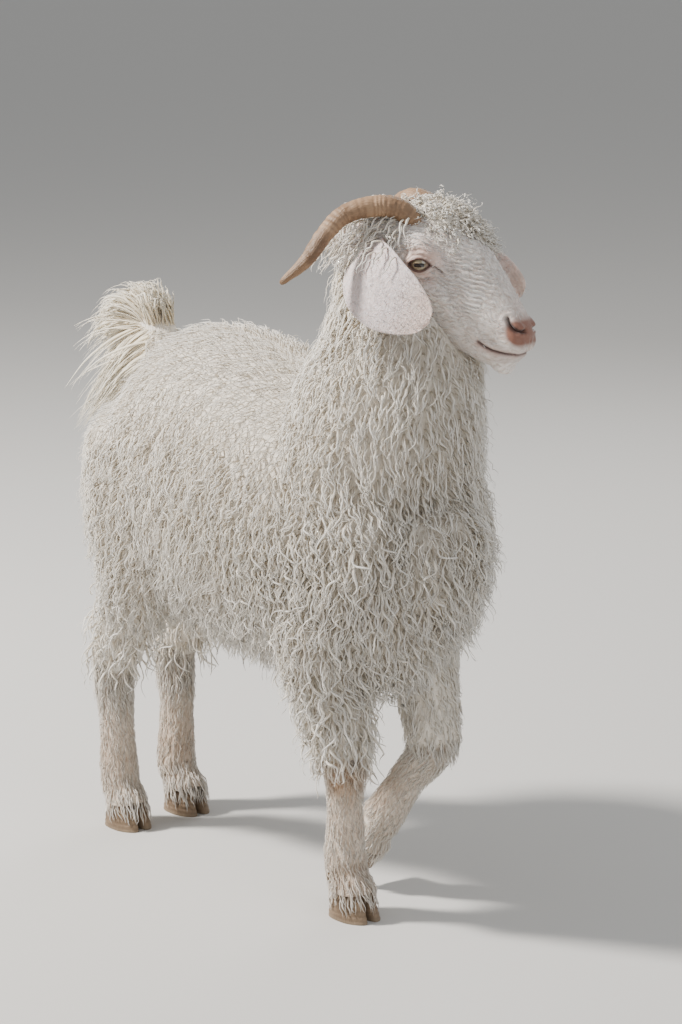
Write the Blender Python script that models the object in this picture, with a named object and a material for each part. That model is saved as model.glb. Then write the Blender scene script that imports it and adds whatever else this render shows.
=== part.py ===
"""A life-size angora goat in mid stride, its left foreleg lifted, in metres.

+X is ahead, +Y the goat's left and +Z up. The origin is on the floor under the middle of its box.
Flesh nodes are cut from one body core, so that they meet face to face.
"""
import math

import bmesh
import bpy
import numpy as np
from mathutils import Matrix, Vector
from mathutils.bvhtree import BVHTree

# Driving sizes of the animal
BACK_HEIGHT = 0.634         # skin of the back above the floor
CHEST_DEPTH = 0.298         # back to brisket, skin
BARREL_WIDTH = 0.262        # widest across the ribs, skin
BUTTOCK_X = -0.268          # hindmost skin of the rump
CHEST_X = 0.279             # foremost skin of the breast
NODE_GAP = 0.0003           # left between nodes that touch
SOCKET_GAP = 0.0005         # left round a horn, an ear or a leg in its socket
COAT_BODY = 0.036           # reach of the fleece past the skin
COAT_BACK = 0.024
COAT_LEG = 0.020
COAT_NECK = 0.030
CORE_SHARE = 0.5            # how much of the coat the core fills
REGION_MARGIN = 0.016       # past the coat of a leg, so that its fleece goes with it

# Joints of the legs: x, y, z, from the shoulder or hip down to the coronet
FORELEG_RIGHT = ((0.212, -0.062, 0.480), (0.168, -0.078, 0.335), (0.182, -0.053, 0.195),
                 (0.178, -0.048, 0.068), (0.191, -0.048, 0.031))
FORELEG_LEFT = ((0.208, 0.054, 0.480), (0.180, 0.064, 0.335), (0.216, 0.054, 0.198),
                (0.146, 0.036, 0.092), (0.128, 0.032, 0.064))
HINDLEG_RIGHT = ((-0.178, -0.062, 0.520), (-0.152, -0.084, 0.375), (-0.268, -0.055, 0.222),
                 (-0.268, -0.048, 0.066), (-0.254, -0.048, 0.031))
HINDLEG_LEFT = ((-0.180, 0.062, 0.520), (-0.162, 0.084, 0.375), (-0.280, 0.055, 0.222),
                (-0.276, 0.048, 0.066), (-0.258, 0.048, 0.031))
# Half widths of the skin, across and fore-and-aft, at each joint and between
FORE_SKIN = ((0.040, 0.058), (0.038, 0.054), (0.031, 0.042), (0.025, 0.031), (0.0225, 0.0240),
             (0.0170, 0.0195), (0.0200, 0.0230), (0.0180, 0.0195), (0.0225, 0.0245))
HIND_SKIN = ((0.052, 0.090), (0.052, 0.094), (0.042, 0.080), (0.027, 0.044), (0.0210, 0.0280),
             (0.0170, 0.0210), (0.0200, 0.0230), (0.0180, 0.0195), (0.0225, 0.0245))
SHORT_HAIR = 0.0025         # reach of the hair below the knee and hock
FORE_CUT_Z = 0.322          # height where the forelegs leave the torso
HIND_CUT_Z = 0.335
LIFTED_FOOT_PITCH = math.radians(62)

# A claw of a hoof: height, then half length, width and shift ahead at the coronet and at the sole
CLAW_HEIGHT = 0.031
CLAW_CORONET = (0.0210, 0.0205, 0.001)
CLAW_SOLE = (0.0290, 0.0245, 0.006)
CLEFT = 0.0016
# Dewclaw, from the middle of the coronet: ahead, out, up, then half widths
DEWCLAW = ((-0.014, -0.011, 0.022, 0.006, 0.006), (-0.026, -0.013, 0.012, 0.005, 0.0045))

# Neck: x, y, z of its line, then half widths of the skin across and fore-and-aft
NECK_LINE = ((0.165, 0.000, 0.500, 0.080, 0.100), (0.188, 0.000, 0.585, 0.068, 0.092),
             (0.209, 0.006, 0.655, 0.060, 0.084), (0.202, 0.006, 0.715, 0.042, 0.054),
             (0.180, 0.000, 0.760, 0.026, 0.030))
NECK_CUT = ((0.190, 0.0, 0.590), (0.50, 0.0, 0.866))
TAIL_CUT = ((-0.240, 0.0, 0.645), (-0.81, 0.0, 0.586))

# Head: its own frame has u ahead along the nose, v to the left and w up from it
POLL = (0.213, 0.000, 0.817)
HEAD_YAW = math.radians(20)
HEAD_DIP = math.radians(38)
# Head stations: u, top, bottom, half width and the height of the widest level
HEAD_SHAPE = ((-0.040, -0.030, -0.085, 0.034, -0.055), (-0.010, 0.004, -0.096, 0.044, -0.042),
              (0.030, 0.026, -0.094, 0.047, -0.028), (0.069, 0.037, -0.086, 0.044, -0.018),
              (0.105, 0.039, -0.076, 0.036, -0.016), (0.140, 0.030, -0.071, 0.030, -0.018),
              (0.170, 0.020, -0.063, 0.0265, -0.020), (0.192, 0.012, -0.056, 0.0245, -0.020),
              (0.205, 0.005, -0.048, 0.0210, -0.020), (0.213, -0.006, -0.036, 0.0120, -0.020))
# Swellings of the right side: centre u, v, w and radii
HEAD_BUMPS = {"brow": ((0.062, -0.036, 0.004), (0.026, 0.016, 0.014)),
              "cheek_bone": ((0.088, -0.030, -0.024), (0.036, 0.014, 0.011)),
              "jaw_muscle": ((0.048, -0.026, -0.062), (0.036, 0.023, 0.028)),
              "upper_lip": ((0.196, -0.013, -0.012), (0.018, 0.0125, 0.014)),
              "nostril_wing": ((0.190, -0.014, 0.000), (0.015, 0.0095, 0.010))}
CHIN = ((0.200, 0.0, -0.044), (0.016, 0.017, 0.012))
MOUTH_CORNER = (0.168, -0.0335)     # u and w of the corner and of the front of the mouth line
MOUTH_FRONT = (0.2160, -0.0205)
# Nostril and the groove under the nose: u, v, w, then half widths
NOSTRIL = ((0.170, -0.0260, 0.0060, 0.0012, 0.0014), (0.184, -0.0215, -0.0010, 0.0022, 0.0030),
           (0.197, -0.0150, 0.0000, 0.0030, 0.0042), (0.206, -0.0085, 0.0060, 0.0022, 0.0030))
PHILTRUM = ((0.209, 0.0, 0.001, 0.0006, 0.006), (0.214, 0.0, -0.019, 0.0006, 0.004))
POLL_CUT = ((-0.030, 0.0, 0.006), (0.45, 0.0, 0.89))    # from the poll: the forelock lies above it
EYE_AT = (0.069, 0.0385, -0.009)
EYE_RADIUS = 0.0135
EYE_FACETS = (12, 8)
EYE_OUT = (0.28, 0.94, 0.12)        # where the eye looks
EYE_SLIT = (1.0, 0.0, -0.30)        # along the opening
EYE_OPENING = (0.0245, 0.0150)      # length and height between the lids
LID_THICKNESS = 0.0026
FORELOCK_CORE = ((0.046, 0.0, 0.026), (0.054, 0.036, 0.021))
FORELOCK_REACH = 0.014

# Horns and ears from the poll, on the right: ahead, out, up, then radius or half width
HORN_LINE = ((0.034, 0.020, -0.014, 0.0120), (0.019, 0.031, 0.006, 0.0132),
             (-0.006, 0.045, 0.010, 0.0128), (-0.035, 0.064, 0.005, 0.0116),
             (-0.051, 0.086, -0.019, 0.0102), (-0.058, 0.105, -0.047, 0.0082),
             (-0.082, 0.120, -0.072, 0.0036))
EAR_RIGHT = ((-0.004, 0.040, -0.022, 0.0100), (-0.004, 0.056, -0.034, 0.0210),
             (0.006, 0.072, -0.056, 0.0320), (0.024, 0.083, -0.079, 0.0345),
             (0.048, 0.089, -0.098, 0.0270), (0.074, 0.091, -0.111, 0.0100))
EAR_LEFT = ((-0.004, 0.040, -0.022, 0.0100), (0.002, 0.060, -0.032, 0.0210),
            (0.018, 0.084, -0.050, 0.0320), (0.040, 0.104, -0.070, 0.0345),
            (0.064, 0.117, -0.086, 0.0270), (0.090, 0.124, -0.100, 0.0100))
EAR_THICKNESS = 0.0034
EAR_RIM = 0.0010
EAR_CUP = 0.011             # depth of the cup
EAR_FILL = -0.010           # level that closes the cup where the neck keeps clear of it
EAR_OUT = (-0.25, 1.0, 0.30)    # where the ear's back faces

# Tail: x, y, z of the dock, then half widths across and in depth
DOCK_LINE = ((-0.215, 0.000, 0.610, 0.022, 0.022), (-0.238, 0.000, 0.650, 0.024, 0.021),
             (-0.262, 0.000, 0.668, 0.020, 0.017), (-0.290, 0.000, 0.662, 0.010, 0.009))
# Where the tail's locks start and end, from the top of the plume to its lowest lock: x and z
TAIL_ROOTS = ((-0.262, 0.672), (-0.276, 0.668), (-0.268, 0.656), (-0.256, 0.642))
TAIL_TIPS = ((-0.254, 0.694), (-0.335, 0.658), (-0.384, 0.592), (-0.392, 0.508))
TAIL_LOCKS = 13
TAIL_SPREAD = 0.042

# Locks: share of the length, share of the width, rise above the root
LOCK_FORM = ((0.00, 0.74, -1.0), (0.46, 1.00, 1.0), (1.00, 0.46, 0.6))
LOCK_SINK = 0.007           # how deep a root lies in the core
BODY_LOCK = (0.0725, 0.086, 0.0325)     # spacing, length and half width
FORELOCK_LOCK = (0.0235, 0.037, 0.0135)
LOCK_SIDES = 5
# Size of the locks at heights from the knee to the poll
LOCK_HEIGHTS = (0.20, 0.36, 0.60, 0.78)
LOCK_SIZES = (0.76, 1.00, 0.96, 0.72)

# Finishes: colour and roughness
FINISHES = {"fleece": ((0.86, 0.80, 0.70), 0.90), "tail_fleece": ((0.80, 0.68, 0.48), 0.85),
            "face": ((0.83, 0.74, 0.67), 0.75), "short_hair": ((0.84, 0.77, 0.66), 0.80),
            "ear": ((0.80, 0.69, 0.70), 0.60), "horn": ((0.50, 0.32, 0.18), 0.45),
            "hoof": ((0.55, 0.38, 0.20), 0.50), "eye": ((0.30, 0.20, 0.10), 0.15)}
# Words in a node's name and its finish; every other node is fleece
NODE_FINISH = (("hoof", "hoof"), ("horn", "horn"), ("ear_", "ear"), ("eye", "eye"), ("head", "face"),
               ("tail", "tail_fleece"), ("_lower", "short_hair"))
SHARP_FROM = math.radians(42)       # a steeper edge stays crisp


def scene_cleared():
    for obj in list(bpy.data.objects):
        bpy.data.objects.remove(obj)


def material(name, colour, roughness, metallic=0.0):
    made = bpy.data.materials.new(name)
    made.use_nodes = True
    shader = made.node_tree.nodes["Principled BSDF"]
    shader.inputs["Base Color"].default_value = (*colour, 1.0)
    shader.inputs["Roughness"].default_value = roughness
    shader.inputs["Metallic"].default_value = metallic
    return made


def curve_through(rows, count):
    """Rows of numbers on a smooth curve through the given rows."""
    rows = np.asarray(rows, float)
    last = len(rows) - 1
    made = []
    for t in np.linspace(0, last, count):
        i = min(int(t), last - 1)
        f = t - i
        before, a, b, after = (rows[min(max(k, 0), last)] for k in (i - 1, i, i + 1, i + 2))
        made.append(0.5 * (2 * a + (b - before) * f + (2 * before - 5 * a + 4 * b - after) * f ** 2
                           + (3 * a - before - 3 * b + after) * f ** 3))
    return np.array(made)


def mesh_object(name, points, faces):
    mesh = bpy.data.meshes.new(name)
    mesh.from_pydata([tuple(p) for p in points], [], faces)
    obj = bpy.data.objects.new(name, mesh)
    bpy.context.scene.collection.objects.link(obj)
    return obj


def lofted(name, rings):
    """A closed body of triangles through rings of points, with a fan on each end."""
    rings = [np.asarray(r, float) for r in rings]
    n = len(rings[0])
    points = [p for r in rings for p in r]
    faces = []
    for k in range(len(rings) - 1):
        for j in range(n):
            a, b = k * n + j, k * n + (j + 1) % n
            faces += [(a, b, b + n), (a, b + n, a + n)]
    points += [rings[0].mean(axis=0), rings[-1].mean(axis=0)]
    first, last = len(points) - 2, len(points) - 1
    top = (len(rings) - 1) * n
    for j in range(n):
        k = (j + 1) % n
        faces.append((k, j, first))
        faces.append((top + j, top + k, last))
    return facing_out(mesh_object(name, points, faces))


def facing_out(obj):
    corners = np.array([[obj.data.vertices[i].co for i in t.vertices] for t in triangles(obj.data)])
    if np.linalg.det(corners).sum() < 0:
        obj.data.flip_normals()
    return obj


def triangles(mesh):
    mesh.calc_loop_triangles()
    return mesh.loop_triangles


def ring(centre, along, across, half_across, half_depth, count, power=2.0):
    """A rounded section square to along; across is the sideways direction."""
    along = np.asarray(along, float) / np.linalg.norm(along)
    side = np.asarray(across, float) - np.dot(across, along) * along
    side /= np.linalg.norm(side)
    depth = np.cross(along, side)
    made = []
    for a in np.arange(count) * 2 * math.pi / count:
        c, s = math.cos(a), math.sin(a)
        c = math.copysign(abs(c) ** (2 / power), c)
        s = math.copysign(abs(s) ** (2 / power), s)
        made.append(centre + side * half_across * c + depth * half_depth * s)
    return made


def tube(name, rows, around=14, along=16, across=(0, 1, 0), flat_ends=False):
    """A body along rows of x, y, z, half across and half depth, with rounded ends."""
    rows = curve_through(rows, along)
    spots, tangents = rows[:, :3], np.gradient(rows[:, :3], axis=0)
    rings = [ring(p, t, across, r[3], r[4], around) for p, t, r in zip(spots, tangents, rows)]
    if not flat_ends:
        for end, inner in ((0, 1), (-1, -2)):
            out = spots[end] - spots[inner]
            out = out / np.linalg.norm(out) * rows[end, 3:5].min() * 0.5
            cap = [spots[end] + out + (p - spots[end]) * 0.62 for p in rings[end]]
            rings.insert(0 if end == 0 else len(rings), cap)
    return lofted(name, rings)


def modified(obj, kind, **settings):
    """The object with one modifier applied."""
    modifier = obj.modifiers.new(kind, kind)
    for key, value in settings.items():
        setattr(modifier, key, value)
    graph = bpy.context.evaluated_depsgraph_get()
    mesh = bpy.data.meshes.new_from_object(obj.evaluated_get(graph))
    obj.modifiers.clear()
    obj.data = mesh
    return obj


def fused(name, base, pieces, solver="MANIFOLD"):
    """One closed body of base and the pieces, which are removed."""
    group = bpy.data.collections.new(name + "_pieces")
    bpy.context.scene.collection.children.link(group)
    for piece in pieces:
        for home in list(piece.users_collection):
            home.objects.unlink(piece)
        group.objects.link(piece)
    modified(base, "BOOLEAN", operation="UNION", operand_type="COLLECTION", collection=group, solver=solver)
    for piece in pieces:
        bpy.data.objects.remove(piece)
    bpy.data.collections.remove(group)
    base.name = name
    return base


def cut(base, tool, operation="DIFFERENCE", keep_tool=False):
    modified(base, "BOOLEAN", operation=operation, object=tool, solver="MANIFOLD")
    if not keep_tool:
        bpy.data.objects.remove(tool)
    return base


def half_space(name, point, normal, size=2.0):
    """A large box whose one face passes through point and that lies on the normal's side."""
    normal = Vector(normal).normalized()
    turn = normal.to_track_quat("Z", "Y").to_matrix()
    corners = [Vector(point) + turn @ Vector((x * size, y * size, z * size))
               for z in (0, 1) for x, y in ((-1, -1), (1, -1), (1, 1), (-1, 1))]
    faces = [(0, 3, 2, 1), (4, 5, 6, 7), (0, 1, 5, 4), (1, 2, 6, 5), (2, 3, 7, 6), (3, 0, 4, 7)]
    return facing_out(mesh_object(name, corners, faces))


def side_of(obj, point, normal):
    """Keeps what lies on the normal's side of the plane, half a gap clear of it."""
    normal = Vector(normal).normalized()
    return cut(obj, half_space("side", Vector(point) + normal * NODE_GAP / 2, normal), "INTERSECT")


def copied(obj, name):
    made = obj.copy()
    made.data = obj.data.copy()
    made.name = name
    bpy.context.scene.collection.objects.link(made)
    return made


# Trunk stations: share of its length from the buttocks, shares of the depth and width, drop of the top line
TRUNK_SHAPE = ((0.00, 0.30, 0.34, 0.105), (0.05, 0.66, 0.62, 0.048), (0.14, 0.95, 0.82, 0.016),
               (0.30, 1.06, 0.92, 0.000), (0.49, 1.08, 1.00, 0.000), (0.66, 1.10, 0.96, 0.002),
               (0.80, 1.12, 0.84, 0.010), (0.91, 0.92, 0.72, 0.048), (0.97, 0.66, 0.56, 0.090),
               (1.00, 0.36, 0.34, 0.135))


def trunk_rows(coat):
    """Stations from the buttocks to the breast; the coat is thinner on the back."""
    rows = []
    for at, deep, wide, drop in TRUNK_SHAPE:
        top = BACK_HEIGHT - drop + coat * COAT_BACK
        low = BACK_HEIGHT - drop - CHEST_DEPTH * deep - coat * COAT_BODY
        half = BARREL_WIDTH / 2 * wide + coat * COAT_BODY
        x = BUTTOCK_X + (CHEST_X - BUTTOCK_X) * at
        rows.append((x, 0.0, (top + low) / 2, half, (top - low) / 2))
    return rows


def leg_rows(joints, skin, coat):
    """Stations at each joint and midway, with half widths out to the given coat."""
    joints = np.asarray(joints)
    middles = (joints[1:] + joints[:-1]) / 2
    line = [joints[0]]
    for m, j in zip(middles, joints[1:]):
        line += [m, j]
    return [(*p, a + coat, d + coat) for p, (a, d) in zip(line, skin)]


# Each leg: its joints, its skin, the height where it leaves the torso and the pitch of its foot
LEGS = {"foreleg_right": (FORELEG_RIGHT, FORE_SKIN, FORE_CUT_Z, 0.0),
        "foreleg_left": (FORELEG_LEFT, FORE_SKIN, FORE_CUT_Z, LIFTED_FOOT_PITCH),
        "hindleg_right": (HINDLEG_RIGHT, HIND_SKIN, HIND_CUT_Z, 0.0),
        "hindleg_left": (HINDLEG_LEFT, HIND_SKIN, HIND_CUT_Z, 0.0)}


def lock(surface, root, normal, lie, length, wide, reach, rng):
    """A tapered, rounded lock: it starts under the surface, swells and follows the surface along the lie."""
    side = normal.cross(lie).normalized()
    sway, tip = rng.uniform(-0.16, 0.16) * length, rng.uniform(-0.6, 0.9)
    thick, rise = reach * 0.60, reach * 0.42
    spots = []
    for at, _, up in LOCK_FORM:
        height = -LOCK_SINK if up < 0 else rise * (up + tip * max(0.0, at - 0.6))
        straight = root + lie * length * at + side * sway * math.sin(2.6 * at)
        spot, out, _, _ = surface.find_nearest(straight)
        hanging = max(0.0, lie.dot(normal)) * length * at
        spots.append(spot + out.lerp(normal, 0.3 if at else 1.0).normalized() * (height + hanging))
    rings = []
    for k, (_, swell, _) in enumerate(LOCK_FORM):
        along = spots[min(k + 1, len(spots) - 1)] - spots[max(k - 1, 0)]
        centre, along, across = (np.array(v) for v in (spots[k], along, side))
        rings.append(ring(centre, along, across, wide * swell, thick * swell, LOCK_SIDES))
    end = spots[-1] + (spots[-1] - spots[-2]).normalized() * thick * 0.5
    made = lofted("lock", rings)
    made.data.vertices[len(made.data.vertices) - 1].co = end
    return made


def surface_of(obj):
    mesh = obj.data
    return BVHTree.FromPolygons([v.co for v in mesh.vertices], [f.vertices for f in mesh.polygons])


def spots_on(obj, spacing_at, allowed, rng, tries=9000):
    """Points spread over a surface at least a spacing apart, each with its normal."""
    mesh = obj.data
    corners = np.array([[mesh.vertices[i].co for i in t.vertices] for t in triangles(mesh)])
    normals = np.array([[mesh.vertices[i].normal for i in t.vertices] for t in triangles(mesh)])
    areas = np.linalg.norm(np.cross(corners[:, 1] - corners[:, 0], corners[:, 2] - corners[:, 0]), axis=1)
    picks = rng.choice(len(areas), tries, p=areas / areas.sum())
    a, b = rng.random(tries), rng.random(tries)
    a, b = np.where(a + b > 1, 1 - a, a), np.where(a + b > 1, 1 - b, b)
    shares = np.stack([1 - a - b, a, b], axis=1)[:, :, None]
    points, ups = (corners[picks] * shares).sum(axis=1), (normals[picks] * shares).sum(axis=1)
    kept = []
    for point, up in zip(points, ups):
        if not allowed(point):
            continue
        near = spacing_at(point)
        if all(np.sum((point - q) ** 2) > near * near for q, _ in kept):
            kept.append((point, up))
    return [(Vector(p), Vector(n).normalized()) for p, n in kept]


def lie_of_body(point, normal):
    """The fleece hangs down and a little back, falls outwards from the spine and hangs free underneath."""
    flow = Vector((-0.25, 0.0, -1.0))
    if normal.z > 0.6 and point.z < 0.70:
        flow = Vector((-0.8, math.copysign(0.6, point.y), -0.3))
    against = flow.dot(normal)
    return (flow - normal * against * (1.0 if against < 0 else 0.5)).normalized()


def body_reach(point, normal):
    """How far the locks stand out past the core."""
    full = np.interp(point.z, (0.20, 0.34, 0.62, 0.76), (COAT_LEG, COAT_BODY, COAT_BODY, COAT_NECK * 0.8))
    if normal.z > 0.6 and point.z < 0.70:
        full = COAT_BACK
    return full * (1 - CORE_SHARE)


def body_locks(core):
    """Locks all over the core, but not on the cut faces at the knees, the dock and the head."""
    rng = np.random.default_rng(7)
    spacing, length, wide = BODY_LOCK
    tail_point, tail_normal = (np.array(v) for v in TAIL_CUT)

    def size(point):
        return np.interp(point[2], LOCK_HEIGHTS, LOCK_SIZES)

    def allowed(point):
        knee = FORELEG_RIGHT[2][2] if point[0] > 0 else HINDLEG_RIGHT[2][2]
        return (point[2] > knee + 0.004 and point[2] < POLL[2] - 0.050
                and np.dot(point - tail_point, tail_normal) < -0.012)

    made = []
    surface = surface_of(core)
    for point, normal in spots_on(core, lambda p: spacing * size(p), allowed, rng):
        lie, scale = lie_of_body(point, normal), size(point) * rng.uniform(0.88, 1.14)
        reach = body_reach(point, normal)
        made.append(lock(surface, point, normal, lie, length * scale, wide * scale, reach, rng))
    return made


def forelock(head_to_world):
    """Curls over a low core on the forehead, swirling out from the poll; in the head's frame until placed."""
    rng = np.random.default_rng(11)
    core = ball("forelock", *FORELOCK_CORE, 12, 8)
    spacing, length, wide = FORELOCK_LOCK
    pieces = []
    surface = surface_of(core)
    for point, normal in spots_on(core, lambda p: spacing, lambda p: p[2] > 0.022, rng, 4000):
        flow = Vector((0.8, 2.2 * point.y / 0.036, -0.5)) + Vector(rng.normal(0, 0.5, 3))
        lie = (flow - normal * flow.dot(normal)).normalized()
        long = length * rng.uniform(0.8, 1.15)
        pieces.append(lock(surface, point, normal, lie, long, wide, FORELOCK_REACH, rng))
    for piece in pieces + [core]:
        placed(piece, head_to_world)
    return [core] + pieces


def tail():
    """A short dock with long locks that fan out behind it."""
    rng = np.random.default_rng(3)
    dock = tube("tail", DOCK_LINE, around=8, along=6)
    roots, tips = curve_through(TAIL_ROOTS, TAIL_LOCKS), curve_through(TAIL_TIPS, TAIL_LOCKS)
    pieces = []
    for k in range(TAIL_LOCKS):
        across = TAIL_SPREAD * math.sin(2.4 * k + 0.5)
        across *= 0.55 + 0.45 * math.sin(math.pi * k / TAIL_LOCKS)
        start = Vector((roots[k][0], across * 0.30, roots[k][1]))
        end = Vector((tips[k][0], across - 0.008, tips[k][1])) + Vector(rng.normal(0, 0.007, 3))
        middle = (start + end) / 2 + Vector((-0.004, across * 0.25, 0.018))
        rows = [(*start, 0.0150, 0.0090), (*middle, 0.0200, 0.0100), (*end, 0.0045, 0.0025)]
        rows = curve_through(rows, 4)
        along = np.gradient(rows[:, :3], axis=0)
        rings = [ring(r[:3], t, (0, 1, 0), r[3], r[4], LOCK_SIDES) for r, t in zip(rows, along)]
        pieces.append(lofted("lock", rings))
    return side_of(fused("tail", dock, pieces), *TAIL_CUT)


def body_core():
    """Trunk, neck and the upper legs as one smooth body, out to the core of the coat."""
    share = CORE_SHARE
    parts = [tube("trunk", trunk_rows(share), around=24, along=24)]
    neck = [(*r[:3], r[3] + COAT_NECK * share, r[4] + COAT_NECK * share) for r in NECK_LINE]
    parts.append(tube("neck_part", neck, around=20))
    dock = [(-0.200, 0, 0.580, 0.036, 0.036), (-0.244, 0, 0.662, 0.034, 0.030)]
    parts.append(tube("dock", dock, along=4))
    for name, (joints, skin, _, _) in LEGS.items():
        parts.append(tube(name + "_part", leg_rows(joints, skin, COAT_LEG * share)[:5]))
    core = smooth_union("core", parts, 0.009, 8, 0.023)
    return fused("body", core, body_locks(core))


def smooth_union(name, parts, voxel, rounds, ratio):
    """Overlapping bodies made one, with their creases smoothed and fewer faces."""
    with bpy.context.temp_override(active_object=parts[0], selected_editable_objects=parts, object=parts[0]):
        bpy.ops.object.join()
    made = parts[0]
    made.name = name
    modified(made, "REMESH", mode="VOXEL", voxel_size=voxel)
    modified(made, "SMOOTH", factor=0.6, iterations=rounds)
    modified(made, "DECIMATE", ratio=ratio)
    return made


def largest_surface(obj):
    """Keeps the largest closed surface, which fills a sealed hollow and drops a scrap."""
    shell = bmesh.new()
    shell.from_mesh(obj.data)
    bmesh.ops.triangulate(shell, faces=shell.faces)
    left, groups = set(shell.faces), []
    while left:
        group, front = set(), [left.pop()]
        while front:
            face = front.pop()
            group.add(face)
            for edge in face.edges:
                for other in edge.link_faces:
                    if other in left:
                        left.remove(other)
                        front.append(other)
        groups.append(group)

    def volume(group):
        return abs(sum(a.co.dot(b.co.cross(c.co)) for a, b, c in (face.verts for face in group)))

    groups.sort(key=volume, reverse=True)
    for group in groups[1:]:
        bmesh.ops.delete(shell, geom=list(group), context="FACES")
    shell.to_mesh(obj.data)
    shell.free()
    return obj


def frame_of_head(dip=HEAD_DIP):
    return Matrix.Translation(POLL) @ Matrix.Rotation(HEAD_YAW, 4, "Z") @ Matrix.Rotation(dip, 4, "Y")


def placed(obj, frame):
    """Moves the points themselves, so that the object's own frame stays the world's."""
    obj.data.transform(frame)
    return facing_out(obj)


def ball(name, centre, radii, around=16, rings=10):
    made = mesh_object(name, [], [])
    shell = bmesh.new()
    bmesh.ops.create_uvsphere(shell, u_segments=around, v_segments=rings, radius=1.0)
    bmesh.ops.triangulate(shell, faces=shell.faces)
    shell.to_mesh(made.data)
    shell.free()
    made.data.transform(Matrix.Translation(centre) @ Matrix.Diagonal((*radii, 1.0)))
    return facing_out(made)


def mirrored(rows, side):
    """Rows of the right side for side -1, and of the left for 1: only the second number turns."""
    return [(r[0], side * abs(r[1]), *r[2:]) for r in rows]


def head_blank():
    """The skull with its muscles and lips, before the eyes, nostrils and mouth are cut."""
    rings = []
    for u, top, low, half, level in curve_through(HEAD_SHAPE, 20):
        points = []
        for a in np.arange(22) * 2 * math.pi / 22:
            c, s = math.cos(a), math.sin(a)
            reach = top - level if s > 0 else level - low
            v, w = half * math.copysign(abs(c) ** 0.85, c), reach * math.copysign(abs(s) ** 0.9, s)
            points.append((u, v, level + w))
        rings.append(points)
    parts = [lofted("skull", rings), ball("chin", *CHIN)]
    for name, (centre, radii) in HEAD_BUMPS.items():
        for side in (-1, 1):
            parts.append(ball(name, mirrored([centre], side)[0], radii))
    return smooth_union("head", parts, 0.0042, 3, 0.062)


def eye_frame(side):
    """Frame at the centre of an eye: x ahead along the lids, y out and z up."""
    out = Vector((EYE_OUT[0], side * EYE_OUT[1], EYE_OUT[2])).normalized()
    slit = Vector(EYE_SLIT)
    ahead = (slit - out * out.dot(slit)).normalized()
    up = ahead.cross(out)
    turn = Matrix((ahead, out, up if up.z > 0 else -up)).transposed()
    return Matrix.Translation((EYE_AT[0], side * EYE_AT[1], EYE_AT[2])) @ turn.to_4x4()


def eyelids(head, side):
    """A shell over the eyeball with an almond opening, then the socket behind it."""
    frame = eye_frame(side)
    reach = EYE_RADIUS + LID_THICKNESS
    lids = placed(ball("lids", (0, 0, 0), (reach * 1.12, reach, reach), 12, 8), frame)
    fused("head", head, [lids])
    length, height = EYE_OPENING
    rings = []
    for y in (0.002, 0.030):
        rings.append([(length / 2 * math.cos(a), y,
                       height / 2 * math.sin(a) * (1 - 0.25 * math.cos(a) ** 2))
                      for a in np.arange(12) * 2 * math.pi / 12])
    cut(head, placed(lofted("opening", rings), frame))
    cut(head, placed(ball("socket", (0, 0, 0), [EYE_RADIUS + SOCKET_GAP] * 3, *EYE_FACETS), frame))
    return head


def mouth_and_nostrils(head):
    """A thin groove round the muzzle, one between nose and lip, and two comma-shaped nostrils."""
    corner, front = MOUTH_CORNER, MOUTH_FRONT
    rings = []
    for t in np.linspace(-1, 1, 11):
        u = corner[0] + (front[0] - corner[0]) * (1 - abs(t) ** 2.2)
        w = corner[1] + (front[1] - corner[1]) * (1 - abs(t) ** 1.5)
        v = 0.034 * math.copysign(abs(t) ** 0.75, t)
        inner = 0.80 + 0.08 * abs(t)
        pivot = corner[0] - 0.004
        rings.append([(u + 0.006, v * 1.1, w + 0.0005), (pivot + (u - pivot) * inner, v * inner, w),
                      (u + 0.006, v * 1.1, w - 0.0011)])
    cut(head, lofted("mouth", rings))
    for side in (-1, 1):
        cut(head, tube("nostril", mirrored(NOSTRIL, side), around=6, along=6, across=(0, 0, 1)))
    cut(head, tube("philtrum", PHILTRUM, around=6, along=4))
    return head


def ear(name, line, side, grow=0.0, filled=False):
    """A cupped leaf that hangs forward; its hollow side faces the neck."""
    rows = curve_through(mirrored(line, side), 8)
    spots, tangents = rows[:, :3], np.gradient(rows[:, :3], axis=0)
    rings = []
    for k, (spot, along, half) in enumerate(zip(spots, tangents, rows[:, 3])):
        along = along / np.linalg.norm(along)
        out = np.array(EAR_OUT) * (1, side, 1)
        out -= along * np.dot(along, out)
        out /= np.linalg.norm(out)
        across = np.cross(along, out)
        share = k / (len(rows) - 1)
        cup = EAR_CUP * math.sin(math.pi * min(1.0, 0.25 + share * 0.85)) * half / 0.034
        half, thick = half + grow, EAR_THICKNESS * (1.25 - 0.5 * share)
        outer, inner = [], []
        for t in np.linspace(-1, 1, 8):
            rise = cup * (1 - t * t)
            full = max(EAR_RIM, thick * math.sqrt(1 - t ** 4))
            under = EAR_FILL if filled else rise - full
            outer.append(spot + across * half * t + out * (rise + grow))
            inner.append(spot + across * half * t + out * (under - grow))
        rings.append(outer + inner[::-1])
    if grow:
        rings[0] = [p - tangents[0] / np.linalg.norm(tangents[0]) * grow for p in rings[0]]
    end = spots[-1] + (spots[-1] - spots[-2]) * 0.25
    rings.append([end + (p - end) * 0.35 for p in rings[-1]])
    return placed(lofted(name, rings), frame_of_head(0.0))


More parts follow.
